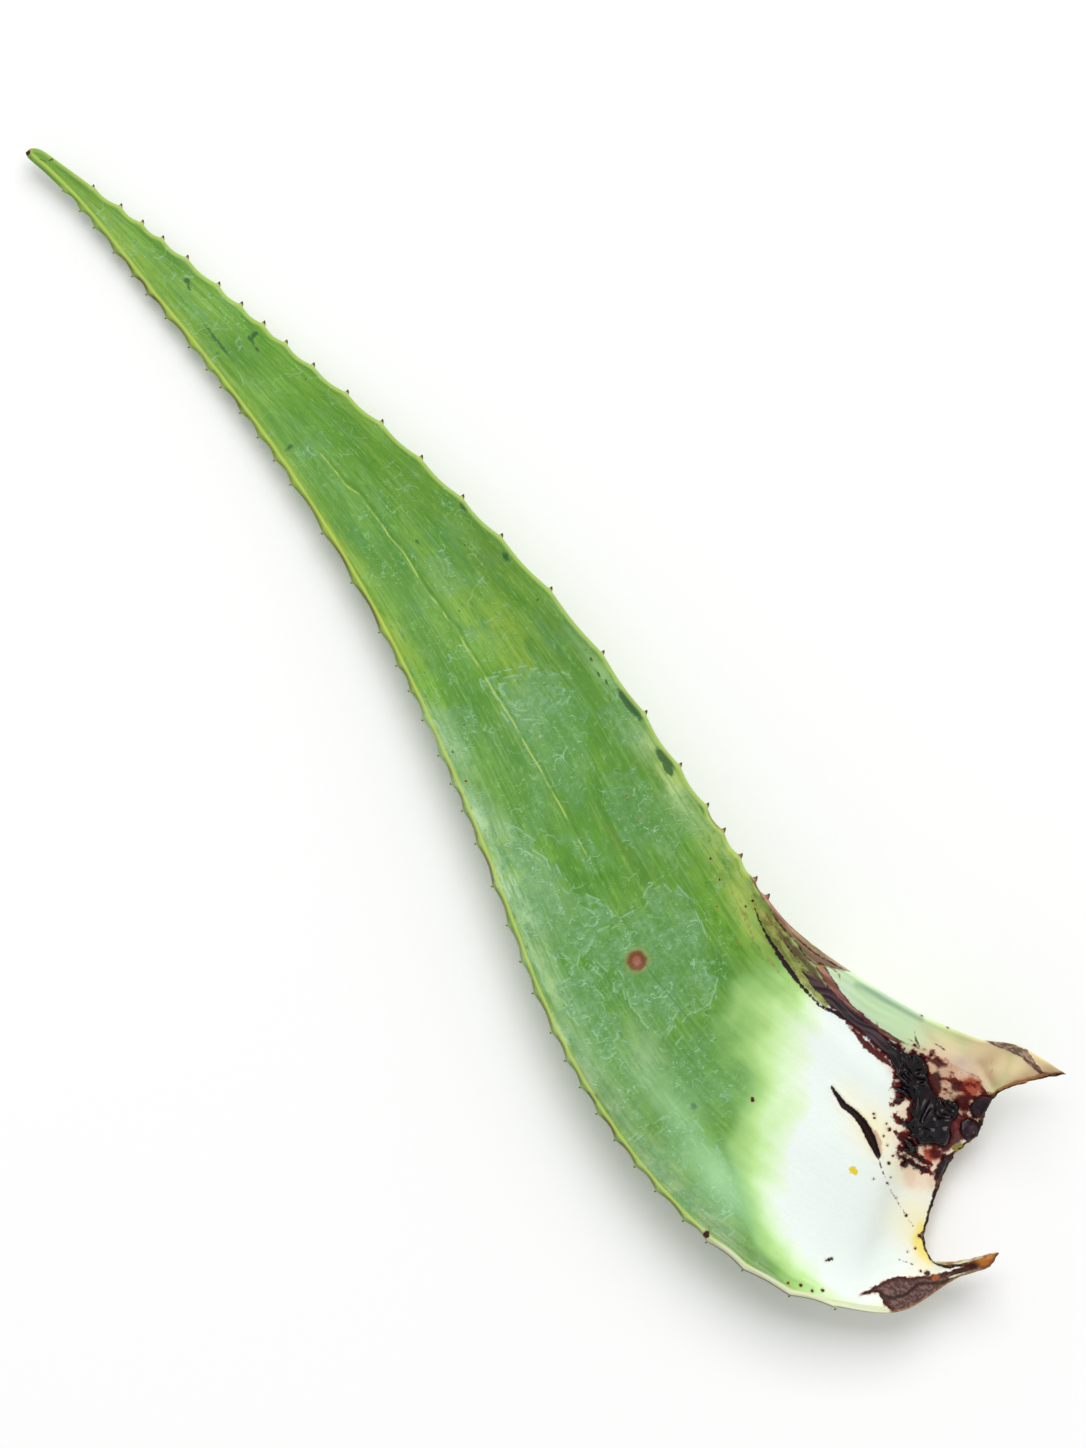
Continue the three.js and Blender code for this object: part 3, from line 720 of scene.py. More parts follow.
def stationPlaces():
    count = blade["denseStations"] * blade["denseRows"]
    dense = np.linspace(0, blade["denseStations"], count + 1)
    rest = (lastStation - blade["denseStations"]) * blade["rows"]
    return np.concatenate([dense[:-1], np.linspace(blade["denseStations"], lastStation, rest + 1)])


marginStations = np.linspace(0, lastStation, 700)
margins = {side: marginPoint(side, marginStations)[:, :2] for side in outSign}
smoothLeft = marginCurve("left", marginStations)[:, :2]
tornLine = through(blade["tornEdge"], np.linspace(0, len(blade["tornEdge"]) - 1, 90))


def nearestStreak(points, streaks):
    return np.min([streak(points, line, halves) for line, halves in streaks], axis=0)


def sapOutline(points):
    sap = marks["sap"]
    patches = nearAny(points, [*sap["blackSap"], *sap["scabs"]])
    return np.minimum(patches, nearestStreak(points, sap["sapStreaks"]))


def gapsAt(points):  # how far each point is from the margins, the torn edge and the marks
    x, y = points.T
    gaps = {side + "Gap": nearLine(points, margins[side])[0] for side in outSign}
    gaps["ridgeGap"] = nearLine(points, smoothLeft)[0]
    midline = np.array(marks["midline"])[::-1]
    gaps["midGap"] = x - np.interp(y, midline[:, 1], midline[:, 0])
    gaps["blisterGap"] = np.hypot(*(points - marks["blister"]).T)
    gaps["hornTipGap"] = np.hypot(*(points - marks["hornTip"]["at"]).T) - marks["hornTip"]["radius"]
    spoon = marks["spoon"]
    spoonX, spoonY = spoon["at"]
    gaps["spoonGap"] = np.hypot(x - spoonX, (y - spoonY) * spoon["flatter"]) - spoon["radius"]
    tornGap = nearLine(points, tornLine)[0]
    gaps["edgeGap"] = tornGap - np.interp(x, *np.transpose(marks["darkEdge"]))
    gaps["hornGap"] = tornGap - np.interp(x, *np.transpose(marks["hornRim"]))
    (lipX, reachX), (lipY, reachY) = marks["lipFade"]
    gaps["lipFade"] = ease((lipY - y) / reachY) * ease((lipX - x) / reachX)
    for name, line in marks["lines"].items():
        gaps[name + "Gap"] = nearLine(points, line)[0]
    for name, streaks in marks["streaks"].items():
        gaps[name + "Gap"] = nearestStreak(points, streaks)
    for name, outlines in marks["patches"].items():
        gaps[name + "Gap"] = nearAny(points, outlines)
    gaps["sapGap"] = sapOutline(points)
    reach = np.interp(x, *np.transpose(marks["whiteReach"]))
    gaps["whiteFade"] = nearPatch(points, marks["whiteFlesh"]) / reach
    gaps["whiteFade"] += washes(points, marks["stayGreen"])
    feet = np.vstack([marginPoint(side, toothPlaces[side])[:, :2] for side in outSign])
    gaps["toothGap"] = np.min(np.hypot(*(points[:, None] - feet[None]).transpose(2, 0, 1)), axis=1)
    for name, spots in tints.items():
        gaps[name] = washes(points, spots)
    return gaps


relief = {  # of the face, in mm: height, how far from its line, its reach
    "leftRidge": (0.45, 2.1, 0.8),
    "leftHollow": (-0.3, 4.6, 1.4),
    "rightRidge": (0.2, 1.3, 0.6),
    "slashLip": (0.3, 0.6, 0.6),
    "slashDepth": 1.3,
    "blisterRing": (0.5, 3.1, 1.1),
    "blisterPit": (-0.6, 0, 1.7),
    "midline": (-0.3, 0, 0.8),
    "lip": (0.5, 2.4, 1.2),
    "crease": (-0.5, 0, 0.7),
    "curl": 0.6,
    "knob": (1.2, 0, 3.6),
    "knobAt": (63.5, -212),
    "hornFold": (-0.9, 0, 1.3),
    "rolledEdge": 0.9,
    "flapFold": 0.1,
    "waves": [(0.35, 0.035, 0), (0.12, 0.12, 3)],
    "crumpled": [(0.5, 0.35, 11), (0.3, 0.8, 13)],
    "tearing": [(0.7, 0.35, 21), (0.4, 1.1, 23)],
    "backWaves": [(0.35, 0.05, 31), (0.12, 0.2, 33)],
    "tornFlesh": [(1, 0.25, 41), (0.6, 0.9, 43)],
    "fibres": 0.06,
    "backRibs": 0.12,
}


def faceDetail(points, station, across, gaps):
    y = points[:, 1]
    ridge, slash, blister = gaps["ridgeGap"], gaps["slashGap"], gaps["blisterGap"]
    total = swell(ridge, relief["leftRidge"]) + swell(ridge, relief["leftHollow"])
    total += swell(gaps["rightGap"], relief["rightRidge"])
    total += swell(slash, relief["slashLip"]) - relief["slashDepth"] * ease(-slash / 0.9)
    total += swell(blister, relief["blisterRing"]) + swell(blister, relief["blisterPit"])
    inBlade = ease((115 - y) / 20) * ease((y + 128) / 14)
    total += swell(gaps["midGap"], relief["midline"]) * inBlade
    total += swell(gaps["leftGap"], relief["lip"]) * gaps["lipFade"]
    total += swell(np.maximum(gaps["creaseGap"], 0), relief["crease"])
    total += layered(points, relief["waves"])
    fibres = roughness(np.stack([across * 40, y * 0.06], axis=1), 1, 5)
    total += relief["fibres"] * fibres

    inFlap = ease((through(blade["creasePlace"], station) + 0.02 - across) / -0.08)
    inFlap = inFlap * ease((y + 178) / 20) * ease((-100 - y) / 14)
    wander = 2.2 * roughness(points, 0.09, 8)
    total += inFlap * relief["flapFold"] * np.sin(gaps["rightGap"] * 2.3 + wander)
    total += relief["curl"] * ease(0.4 - gaps["curlGap"])
    total += swell(np.hypot(*(points - relief["knobAt"]).T), relief["knob"])
    total += swell(nearLine(points, marks["hornFold"])[0], relief["hornFold"])
    uneven = 0.6 + 0.7 * roughness(points, 0.45, 17)
    total += np.maximum(0, relief["rolledEdge"] * ease(0.3 - gaps["edgeGap"] / 0.9) * uneven)
    onPaper = ease(0.4 - gaps["paperGap"] / 1.2)
    return total + onPaper * (0.35 + 0.8 * layered(points, relief["crumpled"]))


def zipLines(first, firstPlaces, second, secondPlaces):  # triangles between two lines of points
    faces, i, j = [], 0, 0
    while i < len(first) - 1 or j < len(second) - 1:
        stepFirst = j == len(second) - 1 or (
            i < len(first) - 1 and firstPlaces[i + 1] <= secondPlaces[j + 1]
        )
        if stepFirst:
            faces.append((first[i], first[i + 1], second[j]))
            i += 1
        else:
            faces.append((first[i], second[j + 1], second[j]))
            j += 1
    return [face for face in faces if len(set(face)) == 3]


def meshPiece(name, points, faces, values=None, vectors=None):
    mesh = bpy.data.meshes.new(name)
    placed = (np.asarray(points) + toMiddle) * metresPerMm
    mesh.from_pydata(placed.tolist(), [], faces)
    for title, data in (values or {}).items():
        layer = mesh.attributes.new(title, "FLOAT", "POINT")
        layer.data.foreach_set("value", np.asarray(data, np.float32))
    for title, data in (vectors or {}).items():
        layer = mesh.attributes.new(title, "FLOAT_VECTOR", "POINT")
        layer.data.foreach_set("vector", np.asarray(data, np.float32).ravel())
    mesh.polygons.foreach_set("use_smooth", [True] * len(mesh.polygons))
    mesh.update()
    piece = bpy.data.objects.new(name, mesh)
    bpy.context.scene.collection.objects.link(piece)
    return piece


def gridFaces(rows, flipped=False):
    a, b = rows[:-1, :-1].ravel(), rows[:-1, 1:].ravel()
    c, d = rows[1:, 1:].ravel(), rows[1:, :-1].ravel()
    order = (d, c, b, a) if flipped else (a, b, c, d)
    return np.stack(order, axis=1).tolist()


def tornRagged(points, station):  # uneven tearing of the edge, in mm along the tear's direction
    fade = 1 - ease(station / 0.7)
    return (fade * layered(points, relief["tearing"]))[:, None] * tornDirection


def smoothAcross(points, station):  # from -1 to 1 between the margins as they run without teeth
    left, right = marginCurve("left", station)[:, :2], marginCurve("right", station)[:, :2]
    breadth = right - left
    return 2 * np.sum((points[:, :2] - left) * breadth, axis=1) / np.sum(breadth ** 2, axis=1) - 1


def leafBlade():
    stations = stationPlaces()
    faceAcross, backAcross = acrossPlaces(blade["faceColumns"]), acrossPlaces(blade["backColumns"])
    grid = np.meshgrid(stations, faceAcross, indexing="ij")
    station, across = grid[0].ravel(), grid[1].ravel()
    face = skinPoints(station, across, False)
    gaps = gapsAt(face[:, :2])
    face[:, 2] += faceDetail(face[:, :2], station, across, gaps)
    face += tornRagged(face[:, :2], station)

    inner = backAcross[1:-1]
    backGrid = np.meshgrid(stations, inner, indexing="ij")
    backStation, backPlaces = backGrid[0].ravel(), backGrid[1].ravel()
    back = skinPoints(backStation, backPlaces, True)
    lumps = layered(back[:, :2], relief["backWaves"])
    ribs = roughness(np.stack([backPlaces * 26, back[:, 1] * 0.02], axis=1), 1, 35)
    ribs = relief["backRibs"] * ribs
    clear = ease(back[:, 2] / 3)  # nothing goes below the surface that the leaf rests on
    back[:, 2] = np.maximum(0, back[:, 2] + (lumps + ribs) * clear)
    back += tornRagged(back[:, :2], backStation)

    rows, columns = len(stations), len(faceAcross)
    faceRows = np.arange(rows * columns).reshape(rows, columns)
    backInner = rows * columns + np.arange(rows * len(inner)).reshape(rows, -1)
    backRows = np.hstack([faceRows[:, :1], backInner, faceRows[:, -1:]])
    faces = gridFaces(faceRows) + gridFaces(backRows, flipped=True)

    tornFaces, tornPoints, depths = tornEnd(faceRows, backRows, face, faceAcross, backAcross)
    faces += tornFaces
    faces += zipLines(faceRows[-1], faceAcross, backRows[-1], backAcross)

    points = np.vstack([face, back, tornPoints])
    backGaps = gapsAt(np.vstack([back, tornPoints])[:, :2])
    values = {name: np.concatenate([gaps[name], backGaps[name]]) for name in gaps}
    values["onBack"] = np.concatenate([np.zeros(len(face)), np.ones(len(back) + len(depths))])
    values["tornDepth"] = np.concatenate([np.zeros(len(face) + len(back)), depths])
    allStations = np.concatenate([station, backStation, np.zeros(len(depths))])
    values["station"] = allStations
    across = smoothAcross(points, allStations) * blade["flowBreadth"]
    flow = np.stack([across, points[:, 1], points[:, 2] * blade["flowHeight"]], axis=1)
    piece = meshPiece("leafBlade", points, faces, values, {"flow": flow, "place": points})
    return piece, list(values)


def tornEnd(faceRows, backRows, face, faceAcross, backAcross):  # the rough wall of torn flesh
    start = len(faceRows.ravel()) + len(backRows[:, 1:-1].ravel())
    top = face[: len(faceAcross)]
    under = skinPoints(np.zeros(len(faceAcross)), faceAcross, True)
    lines, points, depths = [faceRows[0]], [], []
    for index in range(1, blade["tornLines"]):
        share = index / blade["tornLines"]
        line = mix(top[1:-1], under[1:-1], share)
        height = (top[1:-1, 2] - under[1:-1, 2])[:, None]
        lumps = layered(line[:, [0, 2]], relief["tornFlesh"])
        bulge = math.sin(math.pi * share) * (0.9 * lumps[:, None] - 0.3)
        line = line + bulge * np.minimum(height / 6, 1) * tornDirection
        first = start + sum(len(made) for made in points)
        middle = first + np.arange(len(line))
        lines.append(np.concatenate([faceRows[0][:1], middle, faceRows[0][-1:]]))
        points.append(line)
        depths.append(np.full(len(line), share))
    faces = []
    for upper, lower in zip(lines, lines[1:]):
        faces += [tuple(dict.fromkeys(quad)) for quad in zip(lower, lower[1:], upper[1:], upper)]
    faces = [face for face in faces if len(face) > 2]
    last = zipLines(lines[-1], faceAcross, backRows[0], backAcross)
    faces += [face[::-1] for face in last]
    return faces, np.vstack(points), np.concatenate(depths)


leaf, leafValues = leafBlade()
print("leaf blade", len(leaf.data.vertices), "points")


def toothPoints(side, station, size):  # rings from the sunk root outwards, then the point
    sides, rings = teeth["sides"], teeth["rings"]
    forward, outward = marginDirections(side, station)
    foot = marginPoint(side, station) - (0, 0, rimAt(side, station))
    droop = teeth[side]["droop"]
    points, reaches = [], []
    for ring in range(rings):
        share = ring / rings
        out = mix(-teeth["root"], teeth["length"], share)
        reach = max(0.0, out / teeth["length"])
        wide = (1 - share) ** teeth["taper"]
        lean = teeth["lean"] * reach ** teeth["hook"]
        middle = foot + (outward * out + forward * lean + (0, 0, -droop * reach)) * size
        for turn in np.linspace(0, 2 * np.pi, sides, endpoint=False):
            wideWay = forward * math.cos(turn) * teeth["halfWidth"] * wide
            highWay = np.array([0, 0, math.sin(turn) * teeth["halfHeight"] * wide])
            points.append(middle + (wideWay + highWay) * size)
            reaches.append(reach)
    end = outward * teeth["length"] + forward * teeth["lean"]
    points.append(foot + (end - (0, 0, droop)) * size)
    return points, [*reaches, 1.0]


def toothFaces(first, flipped):
    sides, rings = teeth["sides"], teeth["rings"]
    faces = []
    for ring in range(rings - 1):
        low, high = first + ring * sides, first + (ring + 1) * sides
        for turn in range(sides):
            after = (turn + 1) % sides
            faces.append((low + turn, low + after, high + after, high + turn))
    last, end = first + (rings - 1) * sides, first + rings * sides
    for turn in range(sides):
        faces.append((last + turn, last + (turn + 1) % sides, end))
    faces.append(tuple(range(first, first + sides))[::-1])
    return [face[::-1] for face in faces] if flipped else faces


def marginTeeth():  # one hooked tooth at each place, its root sunk in the rim
    points, faces, reaches = [], [], []
    for side in outSign:
        rule = teeth[side]
        for index, station in enumerate(toothPlaces[side]):
            draw = drawer(index * 7 + rule["seed"])
            fromTip = ease((lastStation - station) / teeth["tipStations"])
            size = rule["size"] * mix(teeth["tipSize"], 1, fromTip)
            size *= (teeth["leastSize"] + teeth["sizeSpread"] * draw()) * rule["shown"]
            faces += toothFaces(len(points), side == "left")
            made = toothPoints(side, station, size)
            points += made[0]
            reaches += made[1]
    place = np.array(points)
    return meshPiece("marginTeeth", place, faces, {"reach": reaches}, {"place": place})


thorns = marginTeeth()
print("teeth", sum(len(places) for places in toothPlaces.values()))

sapCrust = {  # in mm
    "cell": 0.36,
    "past": 4,  # how far its grid goes past the outlines
    "height": [(-137, 0.5), (-150, 1.1), (-168, 1.5), (-178, 2.6), (-188, 3.8), (-197, 3.4),
               (-208, 2.8), (-216, 2.6), (-224, 1.6)],
    "sunk": 0.5,
    "clear": 0.05,
    "edge": 1.8,
    "thinEdge": 0.5,
    "scabHeight": 1.5,
    "outlineWaves": [(0.3, 0.3, 51)],
    "outlineTeeth": [(0.3, 0.6, 52), (0.2, 1.3, 53)],
    "softened": 2,  # rounds
    "flow": (0.26, -0.966),  # down the strip of sap
    "aside": (0.966, 0.26),
    "tapeFrom": -182,  # above it the sap lies as a ribbed tape, below it in loose folds
    "tapeReach": 12,
}


def sapGrid():  # an even grid over the outlines, with how far each point is from them
    sap = marks["sap"]
    outlines = [*sap["blackSap"], *sap["scabs"], *[line for line, _ in sap["sapStreaks"]]]
    low = np.min([np.min(outline, axis=0) for outline in outlines], axis=0) - sapCrust["past"]
    high = np.max([np.max(outline, axis=0) for outline in outlines], axis=0) + sapCrust["past"]
    xs, ys = (np.arange(low[axis], high[axis], sapCrust["cell"]) for axis in (0, 1))
    gridX, gridY = np.meshgrid(xs, ys)
    points = np.stack([gridX.ravel(), gridY.ravel()], axis=1)
    smoothGap = sapOutline(points) + layered(points, sapCrust["outlineWaves"])
    gap = smoothGap + layered(points, sapCrust["outlineTeeth"])
    return points, gridX.shape, smoothGap, gap


def coveredSquares(inside, shape):  # the squares of the grid with all four corners inside
    grid = np.arange(len(inside)).reshape(shape)
    a, b, c, d = grid[:-1, :-1], grid[:-1, 1:], grid[1:, 1:], grid[1:, :-1]
    kept = inside[a] & inside[b] & inside[c] & inside[d]
    return np.stack([a[kept], b[kept], c[kept], d[kept]], axis=1)


def faceHeights(spots):  # of the leaf's face at each spot, and where there is one
    skin = BVHTree.FromPolygons(
        [tuple(vertex.co) for vertex in leaf.data.vertices],
        [tuple(polygon.vertices) for polygon in leaf.data.polygons],
    )
    heights = []
    for x, y in spots:
        above = (np.array([x, y, 90.0]) + toMiddle) * metresPerMm
        hit = skin.ray_cast(Vector(above), Vector((0, 0, -1)))[0]
        heights.append(np.nan if hit is None else hit.z / metresPerMm)
    heights = np.array(heights)
    known = ~np.isnan(heights)
    heights[~known] = np.median(heights[known])
    return heights, known


def sapWrinkles(spots):  # loose folds, the ribs of the tape, and how much of it is tape
    bend = np.stack([roughness(spots, 0.09, 65), roughness(spots, 0.09, 67)], axis=1)
    bent = spots + 5 * bend
    along, sideways = bent @ sapCrust["flow"], bent @ sapCrust["aside"]
    bands = sideways * 0.2 + along * 0.06 + 1.1 * roughness(spots, 0.11, 71)
    folds = np.abs(np.sin(np.pi * bands))
    creases = 1 - 2 * np.abs(roughness(bent, 0.22, 64))
    loose = 0.6 * folds + 0.65 * creases ** 2 + 0.03 * roughness(spots, 1.2, 69)
    ribs = roughness(np.stack([sideways * 1.1, along * 0.05], axis=1), 1, 63)
    onTape = ease((spots[:, 1] - sapCrust["tapeFrom"]) / sapCrust["tapeReach"])
    return loose, ribs, onTape


def rounded(body, used, shape):  # takes the sharpest peaks off
    spread = np.zeros(shape[0] * shape[1])
    spread[used] = body
    spread = spread.reshape(shape)
    for _ in range(sapCrust["softened"]):
        beside = sum(np.roll(spread, step, axis) for step in (-1, 1) for axis in (0, 1))
        spread = (2 * spread + beside) / 6
    return spread.ravel()[used]


def rimWalls(quads, below):  # from each open edge down to the points numbered below further
    edges = {}
    for quad in quads:
        for start, end in zip(quad, quad[1:] + quad[:1]):
            if (end, start) in edges:
                del edges[(end, start)]
            else:
                edges[(start, end)] = True
    return [(end, start, start + below, end + below) for start, end in edges]


def driedSap():  # a wrinkled crust that follows the face below it
    points, shape, smoothGap, gap = sapGrid()
    squares = coveredSquares(gap < 0, shape)
    used = np.unique(squares)
    spots = points[used]
    base, known = faceHeights(spots)
    places, crests = np.transpose(sapCrust["height"])
    crest = np.interp(-spots[:, 1], -places, crests)
    inward = np.clip(-smoothGap[used] / sapCrust["edge"], 0, 1)
    thin = ease(-gap[used] / sapCrust["thinEdge"])
    loose, ribs, onTape = sapWrinkles(spots)
    wrinkles = mix(loose, 0.55 + 0.8 * ribs, onTape)
    scab = ease(-nearAny(spots, marks["sap"]["scabs"]) / 0.8 + 0.5)
    plates = 0.85 + 0.25 * roughness(spots, 0.5, 66)
    height = mix(crest * (0.35 + 0.65 * wrinkles), sapCrust["scabHeight"] * plates, scab)
    dome = mix(np.sqrt(1 - (1 - inward) ** 2), ease(inward * 2.2), scab)
    body = rounded(thin * dome * height, used, shape)

    top = np.column_stack([spots, base + sapCrust["clear"] + body])
    bottom = np.column_stack([spots, base - sapCrust["sunk"]])
    squares = np.searchsorted(used, squares)
    squares = squares[known[squares].all(axis=1)]
    faces = squares.tolist() + (squares[:, ::-1] + len(used)).tolist()
    faces += rimWalls(squares.tolist(), len(used))
    values = {
        "thick": np.concatenate([body, np.zeros(len(body))]),
        "scab": np.tile(scab, 2),
        "rib": np.tile(ribs * onTape, 2),
        "fold": np.tile(loose * (1 - onTape), 2),
    }
    place = np.vstack([top, bottom])
    return meshPiece("sapCrust", place, faces, values, {"place": place})


crust = driedSap()
print("dried sap", len(crust.data.polygons), "faces")


def colour(text):  # a hex colour as linear light
    parts = [int(text[index:index + 2], 16) / 255 for index in (0, 2, 4)]
    linear = [p / 12.92 if p <= 0.04045 else ((p + 0.055) / 1.055) ** 2.4 for p in parts]
    return (*linear, 1.0)


def feed(tree, socket, value):
    if isinstance(value, bpy.types.NodeSocket):
        tree.links.new(value, socket)
    else:
        socket.default_value = value


def addNode(tree, kind, inputs=None, **settings):
    made = tree.nodes.new(kind)
    for name, value in settings.items():
        setattr(made, name, value)
    for name, value in (inputs or {}).items():
        feed(tree, made.inputs[name], value)
    return made


def sums(tree, operation, *values, clamped=False):
    return addNode(
        tree, "ShaderNodeMath", dict(enumerate(values)), operation=operation, use_clamp=clamped
    ).outputs[0]


def scaled(tree, vector, factors):
    return addNode(
        tree, "ShaderNodeVectorMath", {0: vector, 1: factors}, operation="MULTIPLY"
    ).outputs[0]


def paintOver(tree, base, mask, top):  # a colour is given as a socket or by its name
    made = addNode(tree, "ShaderNodeMix", data_type="RGBA")
    for place, value in ((0, mask), (6, base), (7, top)):
        feed(tree, made.inputs[place], tones[value] if isinstance(value, str) else value)
    return made.outputs[2]


def ranged(tree, value, low, high, toLow=0.0, toHigh=1.0):
    places = {"Value": value, "From Min": low, "From Max": high, "To Min": toLow, "To Max": toHigh}
    return addNode(tree, "ShaderNodeMapRange", places, interpolation_type="SMOOTHSTEP").outputs[0]


def measured(tree, name, vector=False):
    made = addNode(tree, "ShaderNodeAttribute", attribute_name=name)
    return made.outputs["Vector" if vector else "Fac"]


def noised(tree, vector, scale, detail=2.0, rough=0.5):
    inputs = {"Vector": vector, "Scale": scale, "Detail": detail, "Roughness": rough}
    return addNode(tree, "ShaderNodeTexNoise", inputs).outputs[0]


def newGroup(name, inputs, outputs):
    group = bpy.data.node_groups.new(name, "ShaderNodeTree")
    for title, kind, value in inputs:
        socket = group.interface.new_socket(title, in_out="INPUT", socket_type=kind)
        if value is not None:
            socket.default_value = value
    for title, kind in outputs:
        group.interface.new_socket(title, in_out="OUTPUT", socket_type=kind)
    start = group.nodes.new("NodeGroupInput").outputs
    end = group.nodes.new("NodeGroupOutput").inputs
    return group, start, end


floatSocket, vectorSocket = "NodeSocketFloat", "NodeSocketVector"


def raggedEdgeGroup():  # a patch with a torn outline, from the distance to its outline
    group, start, end = newGroup(
        "raggedEdge",
        [("Gap", floatSocket, 0.0), ("Softness", floatSocket, 1.0), ("Ragged", floatSocket, 1.0),
         ("Grain", floatSocket, 0.5), ("Place", vectorSocket, None)],
        [("Mask", floatSocket)],
    )
    lumps = noised(group, start["Place"], start["Grain"], 4.0, 0.6)
    shift = sums(group, "MULTIPLY", sums(group, "SUBTRACT", lumps, 0.5), start["Ragged"])
    gap = sums(group, "ADD", start["Gap"], sums(group, "MULTIPLY", shift, 2.0))
    outer = sums(group, "MULTIPLY", start["Softness"], 0.5)
    inner = sums(group, "MULTIPLY", start["Softness"], -0.5)
    feed(group, end["Mask"], ranged(group, gap, outer, inner))
    return group


def flakedEdgeGroup():  # as torn wax: straight, angular outlines
    group, start, end = newGroup(
        "flakedEdge",
        [("Gap", floatSocket, 0.0), ("Reach", floatSocket, 4.0), ("Grain", floatSocket, 0.2),
         ("Place", vectorSocket, None)],
        [("Mask", floatSocket), ("Rim", floatSocket)],
    )
    wobble = addNode(group, "ShaderNodeTexNoise", {"Vector": start["Place"], "Scale": 0.35})
    bent = addNode(
        group, "ShaderNodeVectorMath", {0: wobble.outputs["Color"], 1: (0.5, 0.5, 0.5)},
        operation="SUBTRACT",
    ).outputs[0]
    moved = addNode(
        group, "ShaderNodeVectorMath", {0: start["Place"], 1: scaled(group, bent, (3, 3, 3))},
        operation="ADD",
    ).outputs[0]
    cells = addNode(
        group, "ShaderNodeTexVoronoi", {"Vector": moved, "Scale": start["Grain"]},
        distance="CHEBYCHEV",
    )
    draw = addNode(group, "ShaderNodeSeparateColor", {"Color": cells.outputs["Color"]}).outputs[0]
    shift = sums(group, "MULTIPLY", sums(group, "SUBTRACT", draw, 0.5), start["Reach"])
    gap = sums(group, "ADD", start["Gap"], shift)
    feed(group, end["Mask"], ranged(group, gap, 0.35, -0.35))
    toRim = sums(group, "ABSOLUTE", gap)
    feed(group, end["Rim"], ranged(group, toRim, 0.6, 0.0))
    return group


def fibreGroup():  # fine streaks that run along the leaf
    group, start, end = newGroup(
        "fibres",
        [("Spacing", floatSocket, 1.0), ("Stretch", floatSocket, 25.0),
         ("Flow", vectorSocket, None)],
        [("Value", floatSocket)],
    )
    apart = addNode(group, "ShaderNodeSeparateXYZ", {0: start["Flow"]}).outputs
    wide = sums(group, "DIVIDE", apart[0], start["Spacing"])
    long = sums(group, "DIVIDE", apart[1], start["Spacing"])
    long = sums(group, "DIVIDE", long, start["Stretch"])
    joined = addNode(group, "ShaderNodeCombineXYZ", {0: wide, 1: long, 2: apart[2]}).outputs[0]
    feed(group, end["Value"], noised(group, joined, 1.0, 3.0, 0.55))
    return group


def specksGroup():  # small spots, only some of the cells keep theirs
    group, start, end = newGroup(
        "specks",
        [("Spacing", floatSocket, 6.0), ("Size", floatSocket, 0.1), ("Share", floatSocket, 0.3),
         ("Place", vectorSocket, None)],
        [("Mask", floatSocket)],
    )
    grain = sums(group, "DIVIDE", 1.0, start["Spacing"])
    cells = addNode(group, "ShaderNodeTexVoronoi", {"Vector": start["Place"], "Scale": grain})
    draws = addNode(group, "ShaderNodeSeparateColor", {"Color": cells.outputs["Color"]}).outputs
    kept = sums(group, "LESS_THAN", draws[0], start["Share"])
    size = sums(group, "MULTIPLY", start["Size"], sums(group, "ADD", draws[1], 0.4))
    inner = sums(group, "MULTIPLY", size, 0.5)
    spot = ranged(group, cells.outputs["Distance"], size, inner)
    feed(group, end["Mask"], sums(group, "MULTIPLY", spot, kept))
    return group


def scratchesGroup():  # thin curved scratches in the wax
    group, start, end = newGroup(
        "scratches",
        [("Grain", floatSocket, 0.1), ("Width", floatSocket, 0.02), ("Place", vectorSocket, None)],
        [("Mask", floatSocket)],
    )
    field = noised(group, start["Place"], start["Grain"], 1.5, 0.5)
    line = sums(group, "ABSOLUTE", sums(group, "SUBTRACT", field, 0.5))
    thin = ranged(group, line, start["Width"], 0.0)
    some = noised(group, scaled(group, start["Place"], (1.3, 1.3, 1.3)), start["Grain"], 2.0)
    feed(group, end["Mask"], sums(group, "MULTIPLY", thin, ranged(group, some, 0.5, 0.62)))
    return group


groups = {
    "raggedEdge": raggedEdgeGroup(),
    "flakedEdge": flakedEdgeGroup(),
    "fibres": fibreGroup(),
    "specks": specksGroup(),
    "scratches": scratchesGroup(),
}


def useGroup(tree, name, **inputs):
    made = addNode(tree, "ShaderNodeGroup", node_tree=groups[name])
    for title, value in inputs.items():
        feed(tree, made.inputs[title], value)
    return made.outputs


def torn(tree, place, gap, softness, ragged, grain):  # the mask of a patch with a torn outline
    return useGroup(
        tree, "raggedEdge", Gap=gap, Softness=softness, Ragged=ragged, Grain=grain, Place=place
    )["Mask"]


def newMaterial(name, finish):  # the finish holds what is the same all over
    material = bpy.data.materials.new(name)
    material.use_nodes = True
    tree = material.node_tree
    shader = tree.nodes["Principled BSDF"]
    for title, value in finish.items():
        shader.inputs[title].default_value = value
    return material, tree, shader


